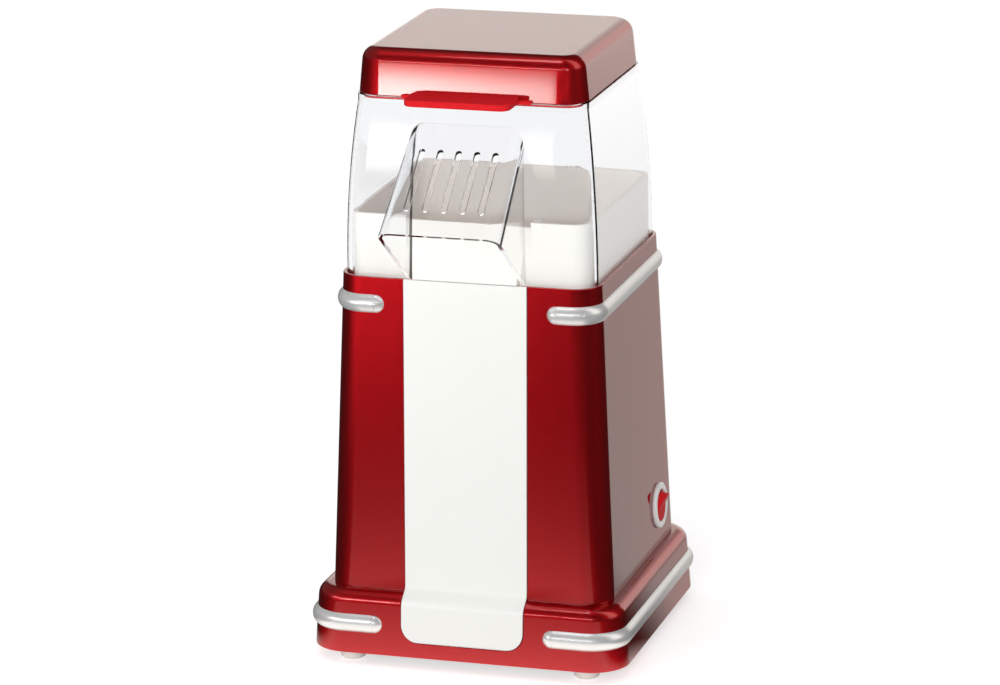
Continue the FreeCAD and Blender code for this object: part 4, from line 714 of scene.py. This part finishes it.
def white_panel(name):
    """Warm white moulding with a soft gloss."""
    return moulded(name, colours().panel, 0.30, grain=0.006, fine=2200.0, shade=0.97, coat=0.25, wear=0.05)


def cream_liner(name):
    """Cream moulding, a little softer than the panel."""
    return moulded(name, colours().liner, 0.42, grain=0.010, fine=1600.0, shade=0.96, wear=0.08)


def silver_trim(name):
    """Satin silver over plastic, with a fine grain."""
    made, tree, shader = blank(name)
    wave = unevenness(tree, slow=30.0, fine=2400.0)
    tint = colours().silver
    tone = mixed(tree, wave["Fine"], full(tint, 0.9), full(tint, 1.06))
    dress(tree, shader, {
        "Base Color": tone,
        "Metallic": 0.62,
        "Roughness": span(tree, wave["Slow"], 0.29, 0.35),
        "Normal": bumped(tree, wave["Fine"], 0.010 * MM),
        "Specular Tint": (0.4, 0.4, 0.4, 1.0),
    })
    return made


def clear_hood(name):
    """Clear plastic that lets the lamps light what is behind it."""
    made, tree, shader = blank(name)
    wave = unevenness(tree, slow=7.0, fine=160.0)
    dress(tree, shader, {
        "Base Color": mixed(tree, wave["Slow"], full(colours().clear, 0.985), full(colours().clear)),
        "Metallic": 0.0,
        "Transmission Weight": 1.0,
        "IOR": 1.45,
        "Specular Tint": (0.3, 0.3, 0.3, 1.0),
        "Roughness": span(tree, wave["Fine"], 0.0, 0.02),
        "Normal": bumped(tree, wave["Slow"], 0.02 * MM),
    })
    path = add(tree, "ShaderNodeLightPath").outputs
    soft = maths(tree, "MAXIMUM", path["Is Shadow Ray"], path["Is Diffuse Ray"])
    through = add(tree, "ShaderNodeBsdfTransparent", {"Color": WHITE})
    either = add(tree, "ShaderNodeMixShader", {0: soft, 1: shader.outputs[0], 2: through.outputs[0]})
    tree.links.new(either.outputs[0], tree.nodes["Material Output"].inputs["Surface"])
    return made


def plain(maker, tint, roughness, **more):
    """A finish function for a moulding or a metal of a fixed tint."""
    return lambda name: maker(name, tint, roughness, **more)


FINISHES = {
    "red_paint": red_paint,
    "white_panel": white_panel,
    "cream_liner": cream_liner,
    "clear_hood": clear_hood,
    "silver_trim": silver_trim,
    "pale_rubber": lambda name: moulded(name, colours().rubber, 0.62, grain=0.03, fine=900.0),
    "white_switch": lambda name: moulded(name, colours().bezel, 0.30, grain=0.006, coat=0.2),
    "red_rocker": lambda name: moulded(name, colours().rocker, 0.50, grain=0.006, wear=0.1, gloss=0.05),
    "screw_steel": plain(metal, (0.55, 0.55, 0.56), 0.32),
    "contact_brass": plain(metal, (0.72, 0.55, 0.26), 0.30),
    "chamber_metal": plain(metal, (0.78, 0.78, 0.77), 0.30, lines=1.6, depth=0.006),
    "seal_silicone": plain(moulded, (0.62, 0.30, 0.22), 0.55, grain=0.02),
    "sheet_steel": plain(metal, (0.60, 0.61, 0.62), 0.36),
    "mica": plain(moulded, (0.55, 0.48, 0.36), 0.35, grain=0.04, fine=500.0, shade=0.7),
    "heater_wire": plain(metal, (0.42, 0.38, 0.35), 0.42, lines=0.6),
    "grey_plastic": plain(moulded, (0.10, 0.10, 0.105), 0.48, grain=0.03, fine=1100.0, shade=0.85),
    "heat_plastic": plain(moulded, (0.030, 0.030, 0.032), 0.50, grain=0.03, fine=1100.0, shade=0.8),
    "bronze": plain(metal, (0.60, 0.40, 0.20), 0.38),
    "core_steel": plain(metal, (0.36, 0.36, 0.38), 0.45, lines=4.0, depth=0.02),
    "ferrite": plain(moulded, (0.055, 0.055, 0.06), 0.6, grain=0.05, fine=700.0, shade=0.7),
    "board_resin": plain(moulded, (0.34, 0.24, 0.10), 0.5, grain=0.02, fine=800.0, shade=0.85),
    "lead_silicone": plain(moulded, (0.72, 0.70, 0.66), 0.5, grain=0.02),
}


def finish(slot):
    """The material of a slot, made once."""
    name = f"{slot}_finish"
    return bpy.data.materials.get(name) or FINISHES[slot](name)


# Operators, one for each piece or group of like pieces

class PieceOperator(bpy.types.Operator):
    """Base of the operators that make pieces."""
    bl_idname = "maker.piece"
    bl_label = "Piece"
    bl_options = {"REGISTER", "UNDO"}

    def make(self, s):
        """Make the pieces from the sizes."""
        raise NotImplementedError

    def execute(self, context):
        self.make(sizes())
        return {"FINISHED"}


class MAKER_OT_plinth(PieceOperator):
    """Drafted skirt with a rounded shoulder, a ledge inside and the recess for the panel"""
    bl_idname = "maker.plinth"
    bl_label = "Plinth"

    def make(self, s):
        lean = s.plinth_draft / (s.plinth_top - s.plinth_low)
        half = s.panel_width / 2 + s.panel_gap
        corner = s.panel_corner + s.panel_gap
        foot = s.panel_foot - s.panel_gap
        rows = [plinth_row(s.plinth_low) + (half - corner, 0.0), plinth_row(foot) + (half - corner, 0.0)]
        for angle in np.linspace(0.0, QUARTER, 9):
            row = plinth_row(foot + corner * (1 - math.cos(angle)))
            rows.append(row + (half - corner + corner * math.sin(angle), recess_cut(row)))
        inset, level = rounded_profile(lean, s.plinth_low, s.plinth_top, s.shoulder_round, ROUND_STEPS)
        for step, z in zip(inset[1:], level[1:]):
            row = drawn_in(s.plinth_width, s.plinth_depth, s.plinth_corner, z, step)
            rows.append(row + (half, recess_cut(row)))
        opening = body_row(s.plinth_top, s.body_wall + s.ledge_reach)
        under = s.plinth_top - s.plinth_wall
        rows.append((opening[0], opening[1], s.ledge_reach, s.plinth_top, half, 0.0))
        rows.append((opening[0], opening[1], s.ledge_reach, under, half, 0.0))
        rows.append(plinth_row(under, s.plinth_wall) + (half, 0.0))
        rows.append(plinth_row(s.plinth_low, s.plinth_wall) + (half, 0.0))
        weave = Weave(recessed_grid(rows, s.corner_steps), loop=True)
        piece = weave.piece("plinth_skirt", "red_paint", "plinth")
        bored(piece, centre_of("cord_gland"), (0.0, 1.0, lean), radius=5.1 * MM, reach=14 * MM)
        soften(piece, s.edge_round)


class MAKER_OT_body(PieceOperator):
    """Tapered tower with its rim, its recess for the panel and its switch hole"""
    bl_idname = "maker.body"
    bl_label = "Body"

    def make(self, s):
        half = s.panel_width / 2 + s.panel_gap
        rows = []
        for level in (s.plinth_top, s.panel_knee, s.panel_knee + 2 * s.panel_bend, s.body_top):
            row = body_row(level)
            rows.append(row + (half, recess_cut(row)))
        rim = body_row(s.body_top, s.rim_wall)
        seat = s.body_top - s.hood_seat
        inner = (half - 2 * s.panel_gap, 0.0)
        rows.append(rim + inner)
        rows.append(rim[:3] + (seat,) + inner)
        rows.append(body_row(seat, s.body_wall) + inner)
        rows.append(body_row(s.plinth_top, s.body_wall) + inner)
        weave = Weave(recessed_grid(rows, s.corner_steps), loop=True)
        piece = weave.piece("body_tower", "red_paint", "body_shell")
        place, axis = switch_place()
        bored(piece, place, axis, radius=10.2 * MM, reach=10 * MM)
        soften(piece, s.edge_round)


class MAKER_OT_panel(PieceOperator):
    """White strip bent over the shoulder, with two round lower corners"""
    bl_idname = "maker.panel"
    bl_label = "Front panel"

    def make(self, s):
        front, back = panel_faces()
        angle = np.linspace(0.0, QUARTER, ROUND_STEPS + 1)
        level = s.panel_foot + s.panel_corner * (1 - np.cos(angle))
        half = s.panel_width / 2 - s.panel_corner + s.panel_corner * np.sin(angle)
        low = [np.stack([np.interp(level, line[:, 1], line[:, 0]), level], axis=-1)
               for line in (front, back)]
        front = np.concatenate([low[0], front[1:]])
        back = np.concatenate([low[1], back[1:]])
        half = np.concatenate([half, np.full(len(front) - len(half), s.panel_width / 2)])
        sides = ((-half, front), (half, front), (half, back), (-half, back))
        columns = [np.stack([x, SET_BACK - line[:, 0], line[:, 1]], axis=-1) for x, line in sides]
        weave = Weave(np.stack(columns, axis=1), caps=True)
        soften(weave.piece("panel_strip", "white_panel", "front_panel"), s.edge_round)


class MAKER_OT_trims(PieceOperator):
    """Four half-round strips round the corners, with ball ends and a fine seam before each tip"""
    bl_idname = "maker.trims"
    bl_label = "Trim strips"

    def strip(self, s, name, side, row):
        """A bar of round section carried along the wall, its back flat and sunk a little in the wall.

        At a distance t past the end of the bar the ball's section has the radius
        sqrt(radius^2 - t^2), and each section is the arc that stands out of the flat back.
        """
        sink = s.trim_radius - s.trim_proud
        flat = sink - s.trim_sink
        width, depth, corner = row[0] / 2 - sink, row[1] / 2 - sink, row[2] - sink
        end = s.trim_tip + math.sqrt(s.trim_radius ** 2 - sink ** 2)
        steps = s.corner_steps
        turn = np.linspace(0.0, QUARTER, steps + 1)
        reach = math.sqrt(s.trim_radius ** 2 - flat ** 2)
        past = reach * np.cos(np.linspace(0.0, QUARTER, 12))
        seam = np.array([0.0, 0.2, 0.5, 0.8, 1.0]) * s.seam_width
        dip = np.array([0.0, 0.7, 1.0, 0.7, 0.0]) * s.trim_seam
        start_x = np.concatenate([end - past, end + seam[1:]])
        start_r = np.concatenate([np.sqrt(s.trim_radius ** 2 - past ** 2), s.trim_radius - dip[1:]])
        lead = np.stack([start_x, np.full(len(start_x), -depth)], axis=-1)
        around = np.stack([np.sin(turn), -np.cos(turn)], axis=-1)
        bend = np.array([width - corner, corner - depth]) + corner * around
        half = np.concatenate([lead, bend])
        out = np.concatenate([np.tile([0.0, -1.0], (len(lead), 1)), around])
        radius = np.concatenate([start_r, np.full(len(bend), s.trim_radius)])
        mirror = np.array([1.0, -1.0])
        path = np.concatenate([half, half[::-1] * mirror])
        out = np.concatenate([out, out[::-1] * mirror])
        radius = np.concatenate([radius, radius[::-1]])
        spread = np.arccos(np.clip(flat / radius, -1.0, 1.0))
        angle = spread[:, None] * np.linspace(-1.0, 1.0, 15)
        away = radius[:, None] * np.cos(angle)
        x = side * (path[:, :1] + out[:, :1] * away)
        y = path[:, 1:] + out[:, 1:] * away + SET_BACK
        z = row[3] + radius[:, None] * np.sin(angle)
        weave = Weave(np.stack([x, y, z], axis=-1), turned=side > 0)
        return weave.piece(name.replace("trim", "strip"), "silver_trim", name)

    def make(self, s):
        for name, side in (("left", -1.0), ("right", 1.0)):
            for level, row in (("upper", body_row(s.trim_upper)), ("lower", plinth_row(s.trim_lower))):
                piece = self.strip(s, f"trim_{level}_{name}", side, row)
                soften(piece, s.trim_edge, segments=1, clamp=True)


class MAKER_OT_lid(PieceOperator):
    """Shallow cup turned over, with a rounded top and a skirt, and its unpainted tab in front"""
    bl_idname = "maker.lid"
    bl_label = "Lid"

    def cup_rows(self, s, wall, top, radius):
        """Rows of the cup's outside or inside: the leaning wall and the round at its top."""
        lean = s.lid_draft / (s.lid_top - s.lid_low)
        inset, level = rounded_profile(lean, s.lid_low, top, radius, ROUND_STEPS)
        return [drawn_in(s.lid_width, s.lid_depth, s.lid_corner, z, step)
                for step, z in zip(inset + wall, level)]

    def plate(self, s, width, reach, thick, corner):
        """A thin plate in front of the lid, from inside its wall, with two round corners."""
        root = s.lid_depth / 2 - s.lid_wall
        depth = reach + s.lid_wall
        rows = [(width, depth, corner, s.lid_low), (width, depth, corner, s.lid_low + thick)]
        grid = walled_grid(rows, s.corner_steps)
        grid[..., 1] -= root + depth / 2
        return grid

    def make(self, s):
        outside = self.cup_rows(s, 0.0, s.lid_top, s.lid_round)
        inside = self.cup_rows(s, s.lid_wall, s.lid_top - s.lid_wall, s.lid_round - s.lid_wall)
        edge = s.lid_wall + s.lid_draft * s.lid_seat / (s.lid_top - s.lid_low)
        low, high = s.lid_low - s.lid_skirt, s.lid_low + s.lid_seat
        outer = (s.skirt_width, s.skirt_depth, s.skirt_corner)
        seat = [drawn_in(s.lid_width, s.lid_depth, s.lid_corner, high, edge),
                drawn_in(*outer, high, s.lid_wall), drawn_in(*outer, low, s.lid_wall),
                outer + (low,), outer + (s.lid_low,)]
        weave = Weave(walled_grid(inside[:0:-1] + seat + outside, s.corner_steps), caps=True)
        soften(weave.piece("lid_cup", "red_paint", "lid"), s.lid_edge)
        tab = Weave(self.plate(s, s.tab_width, s.tab_reach, s.tab_thick, s.tab_corner), caps=True)
        tab.add(self.plate(s, s.wing_width, s.wing_reach, s.wing_thick, s.wing_reach / 2), caps=True)
        soften(tab.piece("lid_tab", "red_rocker", "lid"), s.lid_edge)


def switch_place():
    """Where the switch sits on the right wall, and the direction it faces."""
    s = sizes()
    lean = math.atan((s.body_width - s.body_top_width) / 2 / (s.body_top - s.plinth_top))
    axis = Vector((math.cos(lean), 0.0, math.sin(lean)))
    wall_over_pin = 1.0 * MM
    return centre_of("switch_pin") + axis * wall_over_pin, axis


class MAKER_OT_switch(PieceOperator):
    """Round rocker switch: housing with a rounded bezel, and a rocker with a shallow V face"""
    bl_idname = "maker.switch"
    bl_label = "Switch"

    def make(self, s):
        place, axis = switch_place()
        back = Vector((0.0, 1.0, 0.0))
        turn = np.array(Matrix((back.cross(axis), back, axis)))
        barrel, flange, well = 10.0 * MM, 11.5 * MM, 8.0 * MM
        depth, well_depth, height = 21.0 * MM, 7.2 * MM, 1.8 * MM
        rim_round, lip_round = 1.0 * MM, 0.9 * MM
        rim = arc((flange - rim_round, height - rim_round), rim_round, 0.0, QUARTER, steps=6)
        lip = arc((well + lip_round, height - lip_round), lip_round, QUARTER, math.pi, steps=5)
        outside = [(0.0, -depth), (barrel, -depth), (barrel, 0.0), (flange, 0.0)]
        profile = np.concatenate([outside, rim, lip, [(well, -well_depth), (0.0, -well_depth)]])
        weave = Weave(turned_grid(profile, steps=64) @ turn + np.array(place))
        piece = weave.piece("switch_bezel", "white_switch", "switch_housing")
        soften(piece, s.switch_edge, segments=2, clamp=True)
        self.rocker(s, turn)

    def rocker(self, s, turn):
        """A disc whose face rises both ways from its middle, kept inside the circle it swings in."""
        radius, swing, pivot, depth, valley = 7.2 * MM, 7.95 * MM, 2.8 * MM, 4.6 * MM, 0.5 * MM
        tilt = math.radians(14.0)
        share = np.concatenate([np.linspace(0.0, 0.92, 12), [0.96, 0.985, 1.0]])
        drop = np.concatenate([np.zeros(12), [0.06, 0.2, 0.5]]) * MM
        angle = np.linspace(0.0, TURN, 72, endpoint=False)
        a = radius * share[:, None] * np.cos(angle)
        b = radius * share[:, None] * np.sin(angle)
        h = pivot + np.sqrt(a ** 2 + valley ** 2) * math.tan(tilt) - drop[:, None]
        low = np.full((1, len(angle)), pivot - depth)
        a = np.concatenate([a, a[-1:], 0 * a[-1:]])
        b = np.concatenate([b, b[-1:], 0 * b[-1:]])
        h = np.concatenate([h, low, low])
        keep = np.minimum(1.0, swing / np.sqrt(a ** 2 + h ** 2))
        a, h = a * keep, h * keep
        across = a * math.cos(tilt) + h * math.sin(tilt)
        out = h * math.cos(tilt) - a * math.sin(tilt)
        grid = np.stack([across, b, out], axis=-1)
        weave = Weave(grid @ turn + np.array(centre_of("switch_pin")), turned=True)
        piece = weave.piece("rocker_disc", "red_rocker", "switch_rocker")
        soften(piece, s.switch_edge, segments=2, clamp=True)


class MAKER_OT_feet(PieceOperator):
    """Four rubber feet with rounded soles and a plug that holds them in the bottom plate"""
    bl_idname = "maker.feet"
    bl_label = "Feet"

    def make(self, s):
        height, stem, barb, tip = 8.0 * MM, 3.0 * MM, 4.2 * MM, 1.5 * MM
        barb_level, top = 10.5 * MM, 12.5 * MM
        sole = arc((s.foot_radius - s.foot_round, s.foot_round), s.foot_round, -QUARTER, 0.0, steps=6)
        plug = [(s.foot_radius, height), (stem, height), (stem, barb_level), (barb, barb_level),
                (tip, top), (0.0, top)]
        profile = np.concatenate([[(0.0, 0.0), (0.5 * s.foot_radius, 0.0)], sole, plug])
        foot = turned_grid(profile, steps=40)
        for name in ("foot_front_left", "foot_front_right", "foot_rear_left", "foot_rear_right"):
            middle = centre_of(name)
            middle.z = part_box(name)[0].z
            piece = Weave(foot + np.array(middle)).piece(name.replace("foot", "pad"), "pale_rubber", name)
            soften(piece, s.foot_edge, segments=2, clamp=True)


class MAKER_OT_finishes(PieceOperator):
    """Finishes of the CAD nodes that stay as they are"""
    bl_idname = "maker.finishes"
    bl_label = "Finishes of the inner parts"

    def make(self, s):
        for part in frame["record"]["subparts"]:
            mesh = frame["nodes"][part["node"]].data
            mesh.materials.clear()
            mesh.materials.append(finish(part["material_slot"]))


def turned(azimuth, elevation):
    """A direction from its azimuth, 0 in front and 90 to the right, and its elevation, in degrees."""
    azimuth, elevation = math.radians(azimuth), math.radians(elevation)
    return Vector((math.sin(azimuth) * math.cos(elevation), -math.cos(azimuth) * math.cos(elevation),
                   math.sin(elevation)))


class MAKER_OT_stage(bpy.types.Operator):
    """Pale floor, white surround, soft lamps and the camera"""
    bl_idname = "maker.stage"
    bl_label = "Stage"
    bl_options = {"REGISTER", "UNDO"}

    def floor(self, light):
        """A pale floor that shows white where no shadow lies on it.

        In gloss only a sweep is white: a wedge behind the object, and one in front of it that fades.
        """
        reach, soft, shade, lift = 6.0, 0.02, 0.975, 0.54
        apron_edge, backdrop_edge = (-0.05, 0.05), (0.6, 2.4)
        corners = np.array([(-1, -1, 0), (1, -1, 0), (1, 1, 0), (-1, 1, 0)]) * reach
        mesh = bpy.data.meshes.new("floor")
        mesh.from_pydata(corners, [], [(0, 1, 2, 3)])
        material, tree, shader = blank("studio_floor")
        mesh.materials.append(material)
        linked("floor", mesh)
        path = add(tree, "ShaderNodeLightPath").outputs
        wave = unevenness(tree, slow=3.0, fine=300.0)
        tint = colours().floor
        dress(tree, shader, {
            "Base Color": mixed(tree, wave["Slow"], full(tint, shade), full(tint)),
            "Roughness": 0.9,
            "Specular IOR Level": 0.0,
            "Emission Color": WHITE,
            "Emission Strength": maths(tree, "MULTIPLY", looked_at(tree, path), lift),
        })
        where = add(tree, "ShaderNodeSeparateXYZ", {0: own_place(tree)}).outputs
        along = maths(tree, "SUBTRACT", where["Y"], SET_BACK)
        half = maths(tree, "MULTIPLY", maths(tree, "ABSOLUTE", along), light.sweep_slope)
        over = maths(tree, "SUBTRACT", maths(tree, "ABSOLUTE", where["X"]), light.sweep_half)
        wedge = ramp(tree, maths(tree, "SUBTRACT", half, over), -soft, soft)
        ahead = maths(tree, "MINIMUM", maths(tree, "ADD", along, sizes().plinth_depth / 2), 0.0)
        fade = maths(tree, "EXPONENT", maths(tree, "DIVIDE", ahead, light.sweep_fade))
        near = ramp(tree, along, *apron_edge, light.apron, light.sweep)
        far = ramp(tree, along, *backdrop_edge, 0.0, light.backdrop - light.sweep)
        white = maths(tree, "ADD", near, far)
        shine = maths(tree, "MULTIPLY", maths(tree, "MULTIPLY", wedge, fade), white)
        level = maths(tree, "MAXIMUM", shine, light.dark)
        glossy = add(tree, "ShaderNodeEmission", {"Color": full(light.tint), "Strength": level})
        ways = {0: mirrored(tree, path), 1: shader.outputs[0], 2: glossy.outputs[0]}
        either = add(tree, "ShaderNodeMixShader", ways)
        tree.links.new(either.outputs[0], tree.nodes["Material Output"].inputs["Surface"])

    def surround(self, light):
        """White surround for the eye and for soft light, dark in gloss but for the backdrop.

        In gloss the backdrop is the wedge of directions behind the object, and lights glow at both
        sides above the horizon.  The world is not sampled as a lamp, so each ray sees its own.
        """
        back_edge, left_edge, right_edge = (0.84, 0.92), (-0.25, -0.8), (0.93, 0.985)
        glow_level, backdrop_level = (0.02, 0.22), (0.28, 0.50)
        just_over_one = 1.0001
        world = bpy.data.worlds.new("surround")
        bpy.context.scene.world = world
        world.use_nodes = True
        world.cycles.sampling_method = "NONE"
        tree = world.node_tree
        path = add(tree, "ShaderNodeLightPath").outputs
        direction = add(tree, "ShaderNodeTexCoord").outputs["Generated"]
        where = add(tree, "ShaderNodeSeparateXYZ", {0: direction}).outputs
        steep = maths(tree, "POWER", where["Z"], 2.0)
        flat = maths(tree, "SQRT", maths(tree, "SUBTRACT", just_over_one, steep))
        across = maths(tree, "DIVIDE", where["X"], flat)
        behind = ramp(tree, maths(tree, "DIVIDE", where["Y"], flat), *back_edge)
        left = ramp(tree, across, *left_edge, 0.0, light.glow)
        right = ramp(tree, across, *right_edge, 0.0, light.band)
        sides = maths(tree, "ADD", left, right)
        glow = maths(tree, "MULTIPLY", sides, ramp(tree, where["Z"], *glow_level))
        low = ramp(tree, where["Z"], *backdrop_level, light.backdrop, 0.0)
        back = maths(tree, "MULTIPLY", behind, low)
        gloss = maths(tree, "MAXIMUM", maths(tree, "MAXIMUM", back, glow), light.dark)
        plain_light = span(tree, looked_at(tree, path), light.surround, 1.0)
        thrown = mirrored(tree, path)
        dress(tree, tree.nodes["Background"], {
            "Color": mixed(tree, thrown, WHITE, full(light.tint)),
            "Strength": add(tree, "ShaderNodeMix", {0: thrown, 2: plain_light, 3: gloss}).outputs[0],
        })

    def lamp(self, name, watts, aim, azimuth, elevation, distance, width, height, spread=180.0):
        """A soft area lamp that looks at a point from a direction, with its beam's spread in degrees."""
        data = bpy.data.lights.new(name, "AREA")
        data.shape = "RECTANGLE"
        data.size = width
        data.size_y = height
        data.energy = watts
        data.spread = math.radians(spread)
        made = linked(name, data)
        made.location = aim + turned(azimuth, elevation) * distance
        made.rotation_mode = "QUATERNION"
        made.rotation_quaternion = (aim - made.location).to_track_quat("-Z", "Y")
        made.visible_camera = False
        made.visible_transmission = False
        return made

    def graded(self, lamp):
        """Let a lamp fade across its width and towards its upper and lower edges."""
        far_side, border = 0.62, (0.5, 0.2)
        lamp.use_nodes = True
        tree = lamp.node_tree
        place = add(tree, "ShaderNodeNewGeometry").outputs["Parametric"]
        parts = add(tree, "ShaderNodeSeparateXYZ", {0: place}).outputs
        edge = maths(tree, "ABSOLUTE", maths(tree, "SUBTRACT", parts["Y"], 0.5))
        across = ramp(tree, parts["X"], 0.0, 1.0, 1.0, far_side)
        level = maths(tree, "MULTIPLY", across, ramp(tree, edge, *border))
        tree.links.new(level, tree.nodes["Emission"].inputs["Strength"])

    def lamps(self, light):
        """The lamps: two narrow ones on the lid, and wide ones on the whole."""
        lid = Vector((0.0, SET_BACK - 0.055, 0.285))
        whole = Vector((0.0, SET_BACK, 0.15))
        softbox = self.lamp("softbox", light.softbox, lid, azimuth=-17.3, elevation=-3.6, distance=1.2,
                            width=0.16, height=0.16, spread=16.0)
        self.graded(softbox.data)
        softbox.data.color = light.tint
        self.lamp("kicker", light.kicker, lid, azimuth=34.0, elevation=10.0, distance=1.2,
                  width=0.12, height=0.16, spread=16.0)
        self.lamp("flank", light.flank, whole, azimuth=-36.0, elevation=2.0, distance=0.42,
                  width=0.26, height=0.06)
        self.lamp("strip", light.strip, whole, azimuth=-4.0, elevation=14.0, distance=2.4,
                  width=1.8, height=0.06)
        self.lamp("overhead", light.overhead, whole, azimuth=-20.0, elevation=72.0, distance=1.1,
                  width=0.3, height=0.3)
        fill = self.lamp("fill", light.fill, whole, azimuth=9.0, elevation=16.0, distance=2.4,
                         width=0.6, height=0.3)
        fill.visible_glossy = False

    def camera(self):
        """The camera at the photograph's viewing angle: a long lens, slightly rolled."""
        azimuth, elevation, distance = 16.66, 15.6, 2.25317
        roll = math.radians(-0.74)
        aim = Vector((-0.0016, SET_BACK, 0.14483))
        back = turned(azimuth, elevation)
        right = turned(azimuth + 90.0, 0.0)
        up = back.cross(right)
        across = right * math.cos(roll) + up * math.sin(roll)
        upward = up * math.cos(roll) - right * math.sin(roll)
        data = bpy.data.cameras.new("camera")
        data.sensor_fit = "HORIZONTAL"
        data.sensor_width = 36.0
        data.lens = 165.98
        data.clip_start = 0.1
        data.clip_end = 50.0
        made = linked("camera", data)
        turn = Matrix((across, upward, back)).transposed()
        made.matrix_world = Matrix.Translation(aim + back * distance) @ turn.to_4x4()
        bpy.context.scene.camera = made

    def execute(self, context):
        light = context.scene.studio_light
        self.floor(light)
        self.surround(light)
        self.lamps(light)
        self.camera()
        context.scene.view_settings.view_transform = "Standard"
        return {"FINISHED"}


class MAKER_PT_sidebar(bpy.types.Panel):
    """Lists the operators and the properties"""
    bl_idname = "MAKER_PT_sidebar"
    bl_label = "Popcorn maker"
    bl_space_type = "VIEW_3D"
    bl_region_type = "UI"
    bl_category = "Popcorn maker"

    def draw(self, context):
        for operator in OPERATORS:
            self.layout.operator(operator.bl_idname)
        for group in (context.scene.maker_sizes, context.scene.maker_colours, context.scene.studio_light):
            box = self.layout.box()
            for name in group.bl_rna.properties.keys():
                if name not in ("rna_type", "name"):
                    box.prop(group, name)


OPERATORS = (MAKER_OT_finishes, MAKER_OT_plinth, MAKER_OT_body, MAKER_OT_panel, MAKER_OT_trims,
             MAKER_OT_lid, MAKER_OT_switch, MAKER_OT_feet, MAKER_OT_stage)
GROUPS = {"maker_sizes": MakerSizes, "maker_colours": MakerColours, "studio_light": StudioLight}


def register():
    """Register the properties, the operators and the panel."""
    for name, group in GROUPS.items():
        bpy.utils.register_class(group)
        setattr(bpy.types.Scene, name, PointerProperty(type=group))
    for item in OPERATORS + (MAKER_PT_sidebar,):
        bpy.utils.register_class(item)


def unregister():
    """Take away what register() added."""
    for item in reversed(OPERATORS + (MAKER_PT_sidebar,)):
        bpy.utils.unregister_class(item)
    for name, group in GROUPS.items():
        delattr(bpy.types.Scene, name)
        bpy.utils.unregister_class(group)


def main():
    register()
    for operator in OPERATORS:
        group, name = operator.bl_idname.split(".")
        getattr(getattr(bpy.ops, group), name)()


if __name__ == "__main__":
    main()
